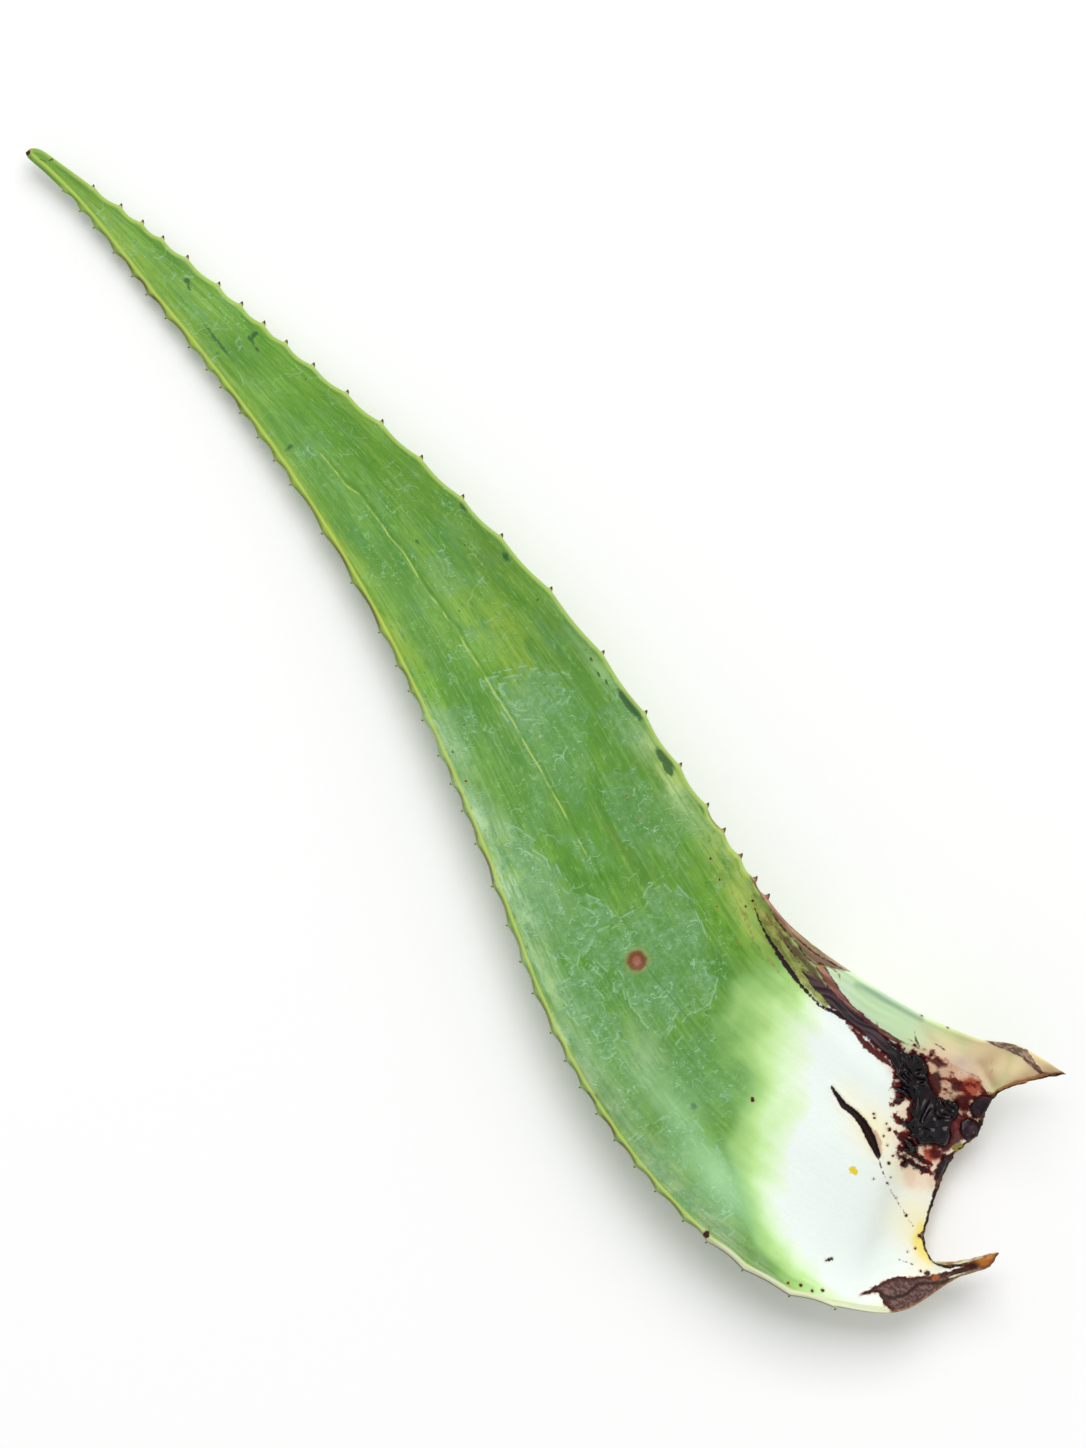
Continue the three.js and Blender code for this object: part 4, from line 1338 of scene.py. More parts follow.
leafTones = {
    "deep": "4f8a2c", "middle": "6fa038", "light": "8cbb5a", "shade": "4f862c", "dusty": "5f9347",
    "mint": "aee0a6", "stripe": "7d8a3c", "olive": "688c33", "fresh": "70a822",
    "yellow": "96b24a", "pale": "a2be4c", "glow": "84b44a", "sallow": "c8da70", "frost": "c6e4b8",
    "greyed": "a2b68c", "bloom": "6b9d63", "bloomLight": "aad6ae", "cream": "ffe8b8",
    "warm": "fff0b8", "tan": "c0966c", "blush": "ffe4d0", "flap": "d6f4c4", "brown": "54332c",
    "papery": "523835", "horn": "a5622c", "bruise": "2f5c36", "backGreen": "7fa163",
    "backPale": "a9c08c", "edgeLine": "4a2f22", "lime": "8cae3a", "midline": "b4cc62",
    "lowerMidline": "4a7a3c", "ridge": "bccc58", "rightEdge": "b0ca62", "rimOlive": "74803a",
    "rimBrown": "624c2c", "rimBurnt": "7c4c34", "toothCushion": "ccd68c", "lip": "e4e6c8",
    "slashHalo": "b06a48", "slashFringe": "a8482c", "slash": "20100c", "blisterRing": "8c9c58",
    "blister": "7c4e2e", "blisterPit": "a8705a", "halo": "f4dcc2", "haloVein": "c86a44",
    "rust": "f2aa80", "rustVein": "a8401e", "ember": "ae300e", "deepRust": "5c0e0a",
    "maroon": "4a0410", "redEdge": "561416", "nearSap": "5c0e0c", "mossDark": "857a40",
    "mossLight": "b4b466", "smudge": "5c3e38", "dryBrown": "7a4a3c", "dryPink": "cc9c84",
    "dryMoss": "84584a", "dryHem": "4a2420", "strip": "8a443c", "stripRib": "c08474",
    "stripHem": "3c1414", "crease": "2c1620", "darkLine": "341a1c", "lightLine": "a4b45c",
    "brownLine": "9a5c34", "flapShadeBand": "7fa08e", "curl": "6e4844", "curlGrain": "b89c88",
    "curlHem": "4a2020", "hornRing": "5c2a20", "hornTip": "3a1c18", "yellowLobe": "f8e468",
    "tornEdge": "241310", "tornSplit": "5e4030", "dropRing": "b8845c", "drop": "3a1a1c",
    "yellowSpeck": "ecd23c", "orangeLobe": "a45a2c", "oliveLobe": "94883c",
    "paperFringe": "a84c22", "paperGrain": "7c605a", "paperHem": "401008", "paperFold": "2c1614",
    "paperRim": "b08458", "spoonDark": "6e3a24", "spoon": "c47a34", "spoonHighlight": "dc9a50",
    "spoonGrain": "8e4e2a", "backCream": "e4e8cc", "backTear": "7a4c30", "flesh": "d9dcae",
    "fleshStain": "a8763e", "fleshRim": "5a3526", "stem": "6a4232", "stemStain": "96704a",
}
toothTones = {
    "toothFoot": "a2bc62", "toothBrowned": "8c5a42", "toothRoot": "8a4a2c",
    "toothPoint": "35100d",
}
sapTones = {
    "sapBody": "0a060c", "sapLump": "260c10", "sapFoldHighlight": "1e1a24", "sapThin": "4c100e",
    "sapTape": "2c1c24", "sapRibHighlight": "604850", "scab": "1a0a12", "scabLump": "38202a",
}
tones = {name: colour(text) for name, text in {**leafTones, **toothTones, **sapTones}.items()}


def times(tree, *masks):  # several masks laid over each other
    total = masks[0]
    for mask in masks[1:]:
        total = sums(tree, "MULTIPLY", total, mask)
    return total


def near(tree, gap, middle, outer, inner):  # a soft band at one distance from a line
    return ranged(tree, sums(tree, "ABSOLUTE", sums(tree, "SUBTRACT", gap, middle)), outer, inner)


tintStrengths = {  # in the order in which they are laid over the green
    "shade": 0.75, "dusty": 0.8, "glow": 0.75, "pale": 0.8, "frost": 0.75, "fresh": 0.7,
    "olive": 0.8, "yellow": 0.6, "sallow": 0.85, "greyed": 0.9, "stripe": 0.9,
}
baseStrengths = {  # the same over the white base
    "mint": 0.75, "warm": 0.9, "flap": 0.95, "cream": 1.0, "blush": 0.8, "tan": 0.8,
}
baseRamp = [  # from white flesh to green
    (0.0, "f1fbf5"), (0.08, "edfbe4"), (0.25, "e0f9ca"), (0.45, "c6ec9e"), (0.65, "a9d47e"),
    (0.85, "8cbc68"), (1.0, "79ab52"),
]
tornPatches = {  # distance used, how far it is grown, softness, raggedness, grain, strength
    "lime": ("limeGap", 0, 2.0, 2.0, 0.2, 0.6),
    "slashHalo": ("slashGap", 0, 1.8, 1.3, 0.5, 0.5),
    "slashFringe": ("fringeGap", 0, 0.8, 1.2, 0.8, 0.5),
    "slash": ("slashGap", 0, 0.35, 0.4, 1.0, 1),
    "blisterRing": ("blisterGap", 4.9, 2.0, 1.4, 0.25, 0.55),
    "blister": ("blisterGap", 3.5, 1.4, 0.8, 0.6, 1),
    "blisterPit": ("blisterGap", 1.7, 0.8, 1.0, 1.2, 0.7),
    "ember": ("emberGap", 0, 2.4, 2.4, 0.3, 0.85),
    "maroon": ("maroonGap", 0.5, 1.4, 1.2, 0.4, 0.95),
    "redEdge": ("redEdgeGap", 0, 0.8, 1.2, 0.5, 1),
    "nearSap": ("sapGap", 0.7, 1.2, 3.4, 0.4, 1),
    "smudge": ("smudgeGap", 0, 1.4, 1.4, 0.35, 0.8),
    "dryBrown": ("brownGap", 0, 0.9, 1.0, 0.35, 0.9),
    "strip": ("stripGap", 0, 0.5, 0.7, 0.4, 0.95),
    "crease": ("creaseGap", 0, 0.4, 0.95, 0.6, 1),
    "darkLine": ("darkLineGap", 0, 0.4, 0.6, 0.6, 0.9),
    "lightLine": ("lightLineGap", 0, 0.4, 0.6, 0.6, 0.85),
    "brownLine": ("brownLineGap", 0, 0.4, 0.6, 0.6, 0.75),
    "curl": ("curlGap", 0, 0.5, 0.9, 0.5, 0.9),
    "hornTip": ("hornTipGap", 0, 0.8, 0.8, 0.6, 1),
    "tornEdge": ("edgeGap", 0, 0.5, 0.8, 0.6, 1),
    "paperFringe": ("paperGap", 0, 1.2, 2.4, 0.5, 0.7),
}
softPatches = {  # distance used, middle of a band, where it begins and is full, strength
    # ridge: the margin's own yellow line, made brighter as painted glow of light through the thin
    # margin
    "ridge": ("ridgeGap", 1.9, (0.9, 0.15), 0.8),
    "toothCushion": ("toothGap", None, (2.6, 0.3), 0.25),
    "flapShadeBand": ("flapGap", None, (1.8, -0.4), 0.5),
    # flapShadeBand: painted shade, a darker band along the curl of the flap
    "horn": ("hornGap", None, (0.4, -0.5), 0.85),
    "yellowLobe": ("lobeGap", None, (3.4, -0.6), 0.9),
}
stretches = {  # where a mark fades in and out along the leaf, in mm
    "midline": [(114, 108), (-74, -66)],
    "lowerMidline": [(-100, -104), (-132, -126)],
    "rightEdge": [(-146, -112)],
    "rimBurnt": [(-62, -74), (-150, -112)],
}


def tornPaint(tree, skin, gap, place, name, tone=None):  # one of the patches above
    value, grown, softness, ragged, grain, strength = tornPatches[name]
    distance = sums(tree, "SUBTRACT", gap[value], grown) if grown else gap[value]
    mask = torn(tree, place, distance, softness, ragged, grain)
    mask = times(tree, mask, strength) if strength < 1 else mask
    return paintOver(tree, skin, mask, tone or name)


def softPaint(tree, skin, gap, name):
    value, middle, (outer, inner), strength = softPatches[name]
    if middle is None:
        mask = ranged(tree, gap[value], outer, inner)
    else:
        mask = near(tree, gap[value], middle, outer, inner)
    return paintOver(tree, skin, times(tree, mask, strength), name)


def stretch(tree, height, name):
    return times(tree, *[ranged(tree, height, start, full) for start, full in stretches[name]])


def tinted(tree, skin, gap, name, strength, uneven=None):  # one of the soft round tints
    spread = gap[name] if uneven is None else times(tree, gap[name], uneven)
    mask = sums(tree, "MULTIPLY", spread, strength, clamped=True)
    return paintOver(tree, skin, mask, name)


def greenGround(tree, gap, place, flow, tone, wide, fine):
    green = paintOver(tree, "deep", ranged(tree, tone, 0.4, 0.55), "middle")
    green = paintOver(tree, green, ranged(tree, tone, 0.54, 0.68), "light")
    uneven = ranged(tree, wide, 0.3, 0.6, 0.6, 1.15)
    for name, strength in tintStrengths.items():
        green = tinted(tree, green, gap, name, strength, uneven)
    green = tornPaint(tree, green, gap, place, "lime")
    drawn = scaled(tree, flow, (1.0, 0.35, 1.0))
    haze = ranged(tree, noised(tree, drawn, 0.16, 4.0, 0.6), 0.5, 0.66)
    green = paintOver(tree, green, times(tree, haze, 0.5), "bloom")
    wider = scaled(tree, drawn, (1.0, 0.8, 1.0))
    clear = ranged(tree, noised(tree, wider, 0.21, 4.0, 0.6), 0.5, 0.36)
    green = paintOver(tree, green, times(tree, clear, 0.45), "shade")
    fleck = noised(tree, drawn, 0.7, 4.0, 0.65)
    green = paintOver(tree, green, ranged(tree, fleck, 0.54, 0.7, 0.0, 0.6), "light")
    green = paintOver(tree, green, ranged(tree, fleck, 0.46, 0.3, 0.0, 0.6), "shade")
    green = paintOver(tree, green, ranged(tree, fine, 0.45, 0.7, 0.0, 0.45), "deep")
    return paintOver(tree, green, ranged(tree, fine, 0.5, 0.3, 0.0, 0.36), "light")


def waxBloom(tree, green, gap, place, powder):  # bloom that has rubbed off in flakes
    faint = torn(tree, place, gap["faintGap"], 2.0, 6.0, 0.14)
    strong = useGroup(tree, "flakedEdge", Gap=gap["bloomGap"], Reach=6.0, Grain=0.2, Place=place)
    grain = ranged(tree, noised(tree, place, 0.45, 4.0, 0.65), 0.44, 0.62)
    bloom = paintOver(tree, "bloom", times(tree, grain, 0.3), "bloomLight")
    holes = ranged(tree, noised(tree, place, 0.11, 5.0, 0.65), 0.38, 0.5, 0.25, 1.0)
    green = paintOver(tree, green, times(tree, faint, powder, 0.42), bloom)
    green = paintOver(tree, green, times(tree, strong["Mask"], powder, holes, 0.75), bloom)
    green = paintOver(tree, green, times(tree, strong["Rim"], holes, 0.42), "bloomLight")
    rubbed = ranged(tree, noised(tree, place, 0.06, 2.0, 0.5), 0.44, 0.6)
    inBloom = sums(tree, "MAXIMUM", times(tree, strong["Mask"], holes), times(tree, rubbed, 0.7))
    inBloom = sums(tree, "MAXIMUM", inBloom, times(tree, faint, 0.9))
    moved = addNode(
        tree, "ShaderNodeVectorMath", {0: place, 1: (0.22, 0.3, 0.0)}, operation="ADD"
    ).outputs[0]  # painted shade: the shaded side of each scratch, set beside it
    # each pale scratch gets painted shade beside it, as though it were a raised ridge
    for grainSize, width in ((0.2, 0.03), (0.42, 0.03)):
        dark = useGroup(tree, "scratches", Grain=grainSize, Width=width, Place=moved)["Mask"]
        green = paintOver(tree, green, times(tree, dark, inBloom, 0.45), "shade")
        curls = useGroup(tree, "scratches", Grain=grainSize, Width=width, Place=place)["Mask"]
        green = paintOver(tree, green, times(tree, curls, inBloom, 0.62), "bloomLight")
    long = useGroup(tree, "scratches", Grain=0.09, Width=0.008, Place=place)["Mask"]
    return paintOver(tree, green, times(tree, long, 0.35), "bloomLight")


def leafMarks(tree, green, gap, place, height):  # the midline, bruises and specks
    wavy = noised(tree, place, 0.12, 2.0)
    line = near(tree, gap["midGap"], 0.0, 0.5, 0.1)
    upper = stretch(tree, height, "midline")
    shown = times(tree, line, upper, ranged(tree, wavy, 0.4, 0.58, 0.12, 0.85))
    green = paintOver(tree, green, shown, "midline")
    beside = near(tree, gap["midGap"], 1.1, 0.7, 0.1)
    green = paintOver(tree, green, times(tree, beside, upper, 0.35), "deep")
    lower = stretch(tree, height, "lowerMidline")
    green = paintOver(tree, green, times(tree, line, lower, 0.55), "lowerMidline")
    bruised = sums(tree, "SUBTRACT", 0.4, gap["dark"])
    bruise = torn(tree, place, bruised, 0.4, 0.35, 0.8)
    green = paintOver(tree, green, times(tree, bruise, 0.85), "bruise")
    specks = useGroup(tree, "specks", Spacing=8.0, Size=0.06, Share=0.3, Place=place)["Mask"]
    return paintOver(tree, green, times(tree, specks, 0.75), "brown")


def paleBase(tree, green, gap, place, wide):  # from green through lime to white flesh
    ripple = times(tree, sums(tree, "SUBTRACT", wide, 0.5), 0.45)
    cloud = times(tree, sums(tree, "SUBTRACT", noised(tree, place, 0.07, 3.0), 0.5), 0.45)
    fade = sums(tree, "ADD", gap["whiteFade"], sums(tree, "ADD", ripple, cloud))
    ramp = addNode(tree, "ShaderNodeValToRGB", {0: fade})
    elements = ramp.color_ramp.elements
    while len(elements) < len(baseRamp):
        elements.new(0.5)
    for element, (position, text) in zip(elements, baseRamp):
        element.position = position
        element.color = colour(text)
    skin = paintOver(tree, green, ranged(tree, fade, 1.15, 0.75), ramp.outputs[0])
    for name, strength in baseStrengths.items():
        skin = tinted(tree, skin, gap, name, strength)
    return skin


def leafEdges(tree, skin, gap, place, height):  # ridge and outer strip of the margins, the lip
    # the ridge is partly the margin's yellow and partly painted glow of light through it
    skin = softPaint(tree, skin, gap, "ridge")
    inBlade = stretch(tree, height, "rightEdge")
    # the pale line along the right margin is partly its own colour and partly painted highlight
    # where it faces the lamp
    rightLine = times(tree, ranged(tree, gap["rightGap"], 2.0, 0.4), inBlade, 0.7)
    skin = paintOver(tree, skin, rightLine, "rightEdge")
    patchy = ranged(tree, noised(tree, place, 0.035, 3.0), 0.4, 0.62, 0.25, 0.85)
    outer = times(tree, ranged(tree, gap["leftGap"], 1.3, 0.5), patchy)
    browned = ranged(tree, noised(tree, place, 0.05, 2.0), 0.42, 0.6)
    skin = paintOver(tree, skin, outer, paintOver(tree, "rimOlive", browned, "rimBrown"))
    onRight = stretch(tree, height, "rimBurnt")
    browner = times(tree, ranged(tree, gap["rightGap"], 1.1, 0.3), onRight, browned, 0.8)
    skin = paintOver(tree, skin, browner, "rimBurnt")
    skin = softPaint(tree, skin, gap, "toothCushion")
    lip = times(tree, ranged(tree, gap["leftGap"], 2.8, 1.8), gap["lipFade"])
    skin = paintOver(tree, skin, times(tree, lip, 0.8), "lip")
    line = times(tree, ranged(tree, gap["leftGap"], 0.7, 0.3), gap["lipFade"])
    return paintOver(tree, skin, times(tree, line, 0.8), "edgeLine")


def wounds(tree, skin, gap, place):  # the slash with its dotted tail, and the blister
    for name in ("slashHalo", "slashFringe", "slash"):
        skin = tornPaint(tree, skin, gap, place, name)
    dots = ranged(tree, noised(tree, place, 0.7, 1.0), 0.42, 0.52)
    tail = times(tree, ranged(tree, gap["tailGap"], 0.45, 0.15), dots)
    skin = paintOver(tree, skin, tail, "brown")
    for name in ("blisterRing", "blister", "blisterPit"):
        skin = tornPaint(tree, skin, gap, place, name)
    return skin


def stains(tree, skin, gap, place):  # red and orange where the sap has soaked in
    drawn = scaled(tree, place, (1.2, 0.8, 1.0))
    blot = noised(tree, drawn, 0.16, 5.0, 0.6)
    halo = torn(tree, place, gap["redGap"], 5.0, 5.0, 0.16)
    skin = paintOver(tree, skin, times(tree, halo, 0.7), "halo")
    veins = ranged(tree, blot, 0.5, 0.6)
    skin = paintOver(tree, skin, times(tree, halo, veins, 0.15), "haloVein")
    rust = torn(tree, place, gap["rustGap"], 2.0, 6.0, 0.2)
    skin = paintOver(tree, skin, times(tree, rust, 0.45), "rust")
    skin = paintOver(tree, skin, times(tree, rust, veins, 0.8), "rustVein")
    skin = tornPaint(tree, skin, gap, place, "ember")
    deeper = ranged(tree, blot, 0.53, 0.62, 0.0, 0.9)
    skin = paintOver(tree, skin, times(tree, rust, deeper), "deepRust")
    for name in ("maroon", "redEdge", "nearSap"):
        skin = tornPaint(tree, skin, gap, place, name)
    return skin


def creaseMarks(tree, skin, gap, place, flow, fine):  # browned skin and lines along the crease, and painted shade along the curled flap
    drawn = scaled(tree, flow, (1.0, 0.35, 1.0))
    moss = ranged(tree, noised(tree, drawn, 0.8, 3.0, 0.6), 0.4, 0.62)
    olive = ranged(tree, gap["oliveGap"], 0.6, -1.2)
    mossTone = paintOver(tree, "mossDark", moss, "mossLight")
    skin = paintOver(tree, skin, times(tree, olive, 0.85), mossTone)
    skin = tornPaint(tree, skin, gap, flow, "smudge")
    ribbed = ranged(tree, fine, 0.42, 0.58)
    brownTone = paintOver(tree, "dryBrown", ribbed, "dryPink")
    brownTone = paintOver(tree, brownTone, times(tree, moss, 0.5), "dryMoss")
    hem = near(tree, gap["brownGap"], -0.1, 0.6, 0.1)
    brownTone = paintOver(tree, brownTone, times(tree, hem, 0.7), "dryHem")
    skin = tornPaint(tree, skin, gap, flow, "dryBrown", brownTone)
    stripTone = paintOver(tree, "strip", ribbed, "stripRib")
    inStrip = near(tree, gap["stripGap"], -0.1, 0.6, 0.15)
    stripTone = paintOver(tree, stripTone, times(tree, inStrip, 0.85), "stripHem")
    skin = tornPaint(tree, skin, gap, flow, "strip", stripTone)
    for name in ("crease", "darkLine", "lightLine", "brownLine"):
        skin = tornPaint(tree, skin, gap, place, name)
    # painted shade along the curl of the flap
    return softPaint(tree, skin, gap, "flapShadeBand")


def hornMarks(tree, skin, gap, place, fine):  # the upper horn, and the dried edge of the tear
    drawn = scaled(tree, place, (1.0, 0.4, 1.0))
    curlGrain = ranged(tree, noised(tree, drawn, 0.9, 2.0), 0.45, 0.55)
    curlTone = paintOver(tree, "curl", curlGrain, "curlGrain")
    outline = near(tree, gap["curlGap"], -0.1, 0.55, 0.1)
    curlTone = paintOver(tree, curlTone, times(tree, outline, 0.8), "curlHem")
    skin = tornPaint(tree, skin, gap, place, "curl", curlTone)
    ring = ranged(tree, gap["ringGap"], 0.7, 0.15)
    ring = times(tree, ring, ranged(tree, fine, 0.3, 0.5, 0.5, 1.0))
    skin = paintOver(tree, skin, times(tree, ring, 0.9), "hornRing")
    skin = softPaint(tree, skin, gap, "horn")
    skin = tornPaint(tree, skin, gap, place, "hornTip")
    skin = softPaint(tree, skin, gap, "yellowLobe")
    split = ranged(tree, noised(tree, place, 0.5, 3.0), 0.5, 0.6)
    edgeTone = paintOver(tree, "tornEdge", split, "tornSplit")
    return tornPaint(tree, skin, gap, place, "tornEdge", edgeTone)


def nearestDrop(tree, flat, drops):  # distance to the nearest of several round spots
    nearest = None
    for x, y, radius in drops:
        away = addNode(
            tree, "ShaderNodeVectorMath", {0: flat, 1: (x, y, 0.0)}, operation="DISTANCE"
        ).outputs["Value"]
        gap = sums(tree, "SUBTRACT", away, radius)
        nearest = gap if nearest is None else sums(tree, "MINIMUM", nearest, gap)
    return nearest


def driedDrops(tree, skin, place):
    flat = scaled(tree, place, (1.0, 1.0, 0.0))
    ring = nearestDrop(tree, flat, marks["drops"]["drop"])
    skin = paintOver(tree, skin, ranged(tree, ring, 0.8, 0.0, 0.0, 0.35), "dropRing")
    drop = torn(tree, place, ring, 0.3, 0.9, 1.0)
    skin = paintOver(tree, skin, drop, "drop")
    for name in ("yellowSpeck", "orangeLobe", "oliveLobe"):
        spot = nearestDrop(tree, flat, marks["drops"][name])
        skin = paintOver(tree, skin, torn(tree, place, spot, 0.5, 0.9, 0.7), name)
    return skin


def paperyPatch(tree, skin, gap, place):  # dead skin on the lower horn
    patch = torn(tree, place, gap["paperGap"], 0.5, 1.2, 0.4)
    skin = tornPaint(tree, skin, gap, place, "paperFringe")
    drawn = scaled(tree, place, (1.4, 0.7, 1.0))
    woven = ranged(tree, noised(tree, drawn, 0.7, 4.0, 0.6), 0.45, 0.6)
    tone = paintOver(tree, "papery", woven, "paperGrain")
    outline = near(tree, gap["paperGap"], -0.3, 1.7, 0.3)
    tone = paintOver(tree, tone, times(tree, outline, 0.9), "paperHem")
    folds = ranged(tree, gap["foldGap"], 0.9, 0.2)
    tone = paintOver(tree, tone, times(tree, folds, 0.85), "paperFold")
    hem = ranged(tree, gap["leftGap"], 1.6, 0.7)
    hem = times(tree, hem, ranged(tree, woven, 0.0, 1.0, 0.5, 0.9))
    tone = paintOver(tree, tone, hem, "paperRim")
    skin = paintOver(tree, skin, patch, tone)
    spoon = ranged(tree, gap["spoonGap"], 1.5, -1.5)
    lit = paintOver(tree, "spoonDark", ranged(tree, gap["leftGap"], 0.8, 2.4), "spoon")
    # painted highlight in the middle of the spoon
    lit = paintOver(tree, lit, ranged(tree, gap["spoonGap"], -2.6, -4.4, 0.0, 0.8), "spoonHighlight")
    lit = paintOver(tree, lit, times(tree, woven, 0.25), "spoonGrain")
    return paintOver(tree, skin, times(tree, spoon, 0.95), lit), patch


def leafUnderside(tree, gap, place, tone, blot):  # greyer, and cream where it held the stem
    under = paintOver(tree, "backGreen", ranged(tree, tone, 0.35, 0.65), "backPale")
    under = paintOver(tree, under, ranged(tree, gap["whiteFade"], 0.9, -0.2), "backCream")
    tear = ranged(tree, gap["station"], 0.3, 0.03)
    under = paintOver(tree, under, times(tree, tear, 0.7), "backTear")
    flesh = paintOver(tree, "flesh", blot, "fleshStain")
    rims = near(tree, gap["tornDepth"], 0.5, 0.25, 0.45)
    flesh = paintOver(tree, flesh, rims, "fleshRim")
    under = paintOver(tree, under, ranged(tree, gap["tornDepth"], 0.0, 0.1), flesh)
    dry = torn(tree, place, sums(tree, "SUBTRACT", gap["leftGap"], 1.5), 0.8, 1.6, 0.25)
    stem = times(tree, ranged(tree, gap["paperGap"], 1.6, 0.2), dry)
    stemTone = paintOver(tree, "stem", blot, "stemStain")
    return paintOver(tree, under, times(tree, stem, 0.85), stemTone)


leafFinish = {
    "Specular IOR Level": 0.22,
    "Subsurface Weight": 0.12,
    "Subsurface Radius": (1.0, 1.2, 0.5),
    "Subsurface Scale": 0.003,
}
toothFinish = {"Roughness": 0.4}
sapFinish = {"Specular IOR Level": 0.3}


def leafMaterial():
    material, tree, shader = newMaterial("leafSkin", leafFinish)
    place, flow = measured(tree, "place", True), measured(tree, "flow", True)
    gap = {name: measured(tree, name) for name in leafValues}
    height = addNode(tree, "ShaderNodeSeparateXYZ", {0: place}).outputs[1]
    patches = noised(tree, place, 0.035, 3.0, 0.55)
    wide = useGroup(tree, "fibres", Flow=flow, Spacing=5.0, Stretch=14.0)["Value"]
    fine = useGroup(tree, "fibres", Flow=flow, Spacing=0.8, Stretch=40.0)["Value"]
    tone = sums(tree, "ADD", times(tree, patches, 0.6), times(tree, wide, 0.4))
    powder = ranged(tree, noised(tree, place, 0.3, 5.0, 0.7), 0.35, 0.62, 0.35, 1.0)
    blot = ranged(tree, noised(tree, place, 0.22, 4.0, 0.6), 0.42, 0.6)

    skin = greenGround(tree, gap, place, flow, tone, wide, fine)
    skin = waxBloom(tree, skin, gap, place, powder)
    skin = leafMarks(tree, skin, gap, place, height)
    skin = paleBase(tree, skin, gap, place, wide)
    skin = leafEdges(tree, skin, gap, place, height)
    skin = wounds(tree, skin, gap, place)
    skin = stains(tree, skin, gap, place)
    skin = creaseMarks(tree, skin, gap, place, flow, fine)
    skin = hornMarks(tree, skin, gap, place, fine)
    skin, paper = paperyPatch(tree, skin, gap, place)
    skin = driedDrops(tree, skin, place)
    under = leafUnderside(tree, gap, place, tone, blot)
    skin = paintOver(tree, skin, ranged(tree, gap["onBack"], 0.35, 0.75), under)
    feed(tree, shader.inputs["Base Color"], skin)

    grainy = sums(tree, "ADD", times(tree, fine, 0.5), noised(tree, place, 1.4, 4.0, 0.6))
    bump = addNode(tree, "ShaderNodeBump", {"Strength": 0.25, "Distance": 0.0004, "Height": grainy})
    feed(tree, shader.inputs["Normal"], bump.outputs[0])
    gloss = sums(tree, "ADD", ranged(tree, powder, 0.35, 1.0, 0.38, 0.52), times(tree, paper, 0.2))
    feed(tree, shader.inputs["Roughness"], gloss)
    return material


def toothMaterial():
    material, tree, shader = newMaterial("toothHorn", toothFinish)
    reach = measured(tree, "reach")
    spot = addNode(tree, "ShaderNodeSeparateXYZ", {0: measured(tree, "place", True)})
    onRight = ranged(tree, spot.outputs[0], 10, 14)
    browned = times(tree, ranged(tree, spot.outputs[1], -74, -84), onRight)
    foot = paintOver(tree, "toothFoot", browned, "toothBrowned")
    body = paintOver(tree, foot, ranged(tree, reach, 0.02, 0.2), "toothRoot")
    body = paintOver(tree, body, ranged(tree, reach, 0.15, 0.4), "toothPoint")
    feed(tree, shader.inputs["Base Color"], body)
    return material


def sapMaterial():
    material, tree, shader = newMaterial("sapResin", sapFinish)
    place, thick = measured(tree, "place", True), measured(tree, "thick")
    lumps = noised(tree, place, 0.25, 4.0, 0.6)
    body = paintOver(tree, "sapBody", ranged(tree, lumps, 0.52, 0.68), "sapLump")
    # painted highlight on the crests of the loose folds
    body = paintOver(tree, body, ranged(tree, measured(tree, "fold"), 0.9, 1.2), "sapFoldHighlight")
    body = paintOver(tree, body, ranged(tree, thick, 0.9, 0.1, 0.0, 0.8), "sapThin")
    height = addNode(tree, "ShaderNodeSeparateXYZ", {0: place}).outputs[1]
    # the tape is lighter on its rib crests, a painted highlight
    tape = paintOver(tree, "sapTape", ranged(tree, measured(tree, "rib"), -0.1, 0.3), "sapRibHighlight")
    body = paintOver(tree, body, ranged(tree, height, -182, -168, 0.0, 0.85), tape)
    scabTone = paintOver(tree, "scab", ranged(tree, lumps, 0.42, 0.62), "scabLump")
    body = paintOver(tree, body, times(tree, measured(tree, "scab"), 0.95), scabTone)
    feed(tree, shader.inputs["Base Color"], body)
    sheen = ranged(tree, lumps, 0.4, 0.66, 0.12, 0.36)
    duller = times(tree, measured(tree, "scab"), 0.2)
    feed(tree, shader.inputs["Roughness"], sums(tree, "ADD", sheen, duller))
    bump = addNode(tree, "ShaderNodeBump", {"Strength": 0.12, "Distance": 0.0003,
                                            "Height": noised(tree, place, 1.2, 3.0, 0.55)})
    feed(tree, shader.inputs["Normal"], bump.outputs[0])
    return material


leaf.data.materials.append(leafMaterial())
thorns.data.materials.append(toothMaterial())
crust.data.materials.append(sapMaterial())

for piece in (leaf, thorns, crust):
    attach(piece, "root")
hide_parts("leaf")
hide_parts("dried_sap")
print("materials made")

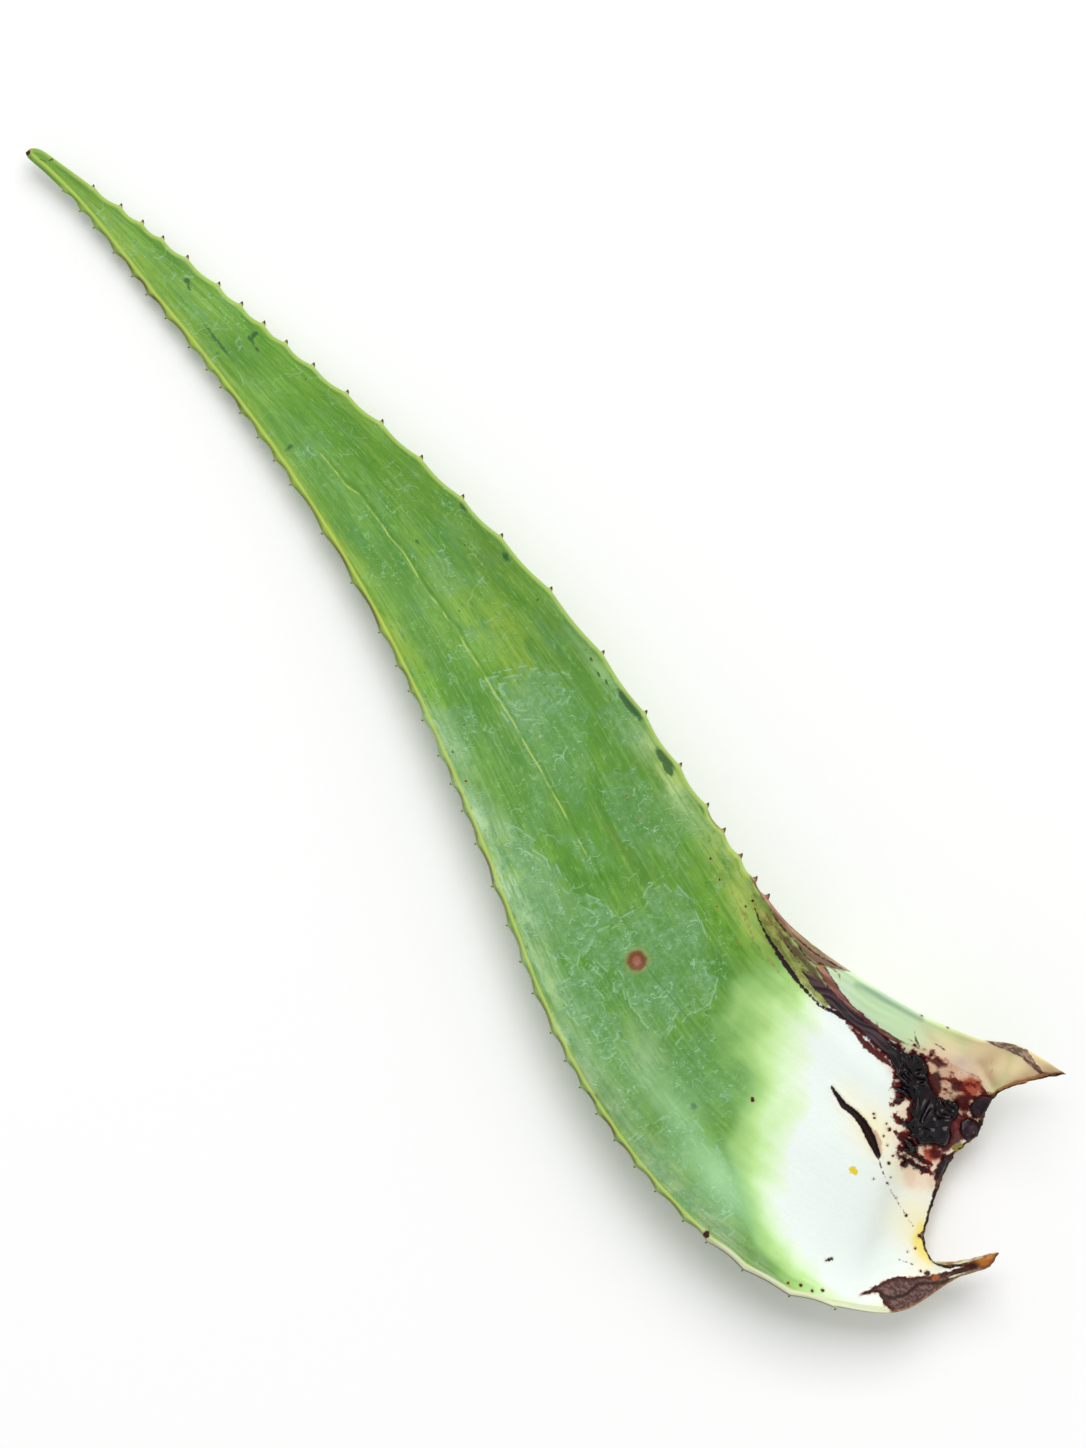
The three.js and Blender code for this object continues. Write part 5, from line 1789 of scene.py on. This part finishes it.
studio = {
    "floorHalf": 12.0,
    "floorFinish": {
        "Base Color": (0.985, 0.985, 0.985, 1.0),
        "Roughness": 0.9,
        "Specular IOR Level": 0.0,
    },
    "skyStrength": 0.55,
    "lampAway": 8.0,
    "lampWidth": 5.6,
    "lampPower": 420.0,
    "lampElevation": math.radians(56),
    "lampAzimuth": math.radians(47),
    "cameraHeight": 3.5,
    "cameraOver": (0.00169, -0.01233),
    "cameraTurn": math.radians(-38),
    "lens": 247.0,
}


def floorPlane():
    half = studio["floorHalf"]
    mesh = bpy.data.meshes.new("floor")
    corners = [(-half, -half, 0), (half, -half, 0), (half, half, 0), (-half, half, 0)]
    mesh.from_pydata(corners, [], [(0, 1, 2, 3)])
    floor = bpy.data.objects.new("floor", mesh)
    bpy.context.scene.collection.objects.link(floor)
    mesh.materials.append(newMaterial("floorPaper", studio["floorFinish"])[0])


def softLamp():
    lamp = bpy.data.lights.new("softLamp", "AREA")
    lamp.energy = studio["lampPower"]
    lamp.size = studio["lampWidth"]
    stand = bpy.data.objects.new("softLamp", lamp)
    flat = math.cos(studio["lampElevation"])
    way = Vector((
        flat * math.cos(studio["lampAzimuth"]),
        flat * math.sin(studio["lampAzimuth"]),
        math.sin(studio["lampElevation"]),
    ))
    stand.location = way * studio["lampAway"]
    stand.rotation_euler = way.to_track_quat("Z", "Y").to_euler()
    bpy.context.scene.collection.objects.link(stand)


def skyLight():
    world = bpy.data.worlds.new("paleRoom")
    world.use_nodes = True
    background = world.node_tree.nodes["Background"]
    background.inputs["Color"].default_value = (1, 1, 1, 1)
    background.inputs["Strength"].default_value = studio["skyStrength"]
    bpy.context.scene.world = world


def overheadCamera():
    data = bpy.data.cameras.new("overhead")
    data.sensor_fit = "VERTICAL"
    data.sensor_height = 36
    data.lens = studio["lens"]
    data.clip_end = 20
    camera = bpy.data.objects.new("overhead", data)
    camera.location = (*studio["cameraOver"], studio["cameraHeight"])
    camera.rotation_euler = (0, 0, studio["cameraTurn"])
    bpy.context.scene.collection.objects.link(camera)
    bpy.context.scene.camera = camera


floorPlane()
softLamp()
skyLight()
overheadCamera()
bpy.context.scene.view_settings.view_transform = "Standard"
print("stage set")
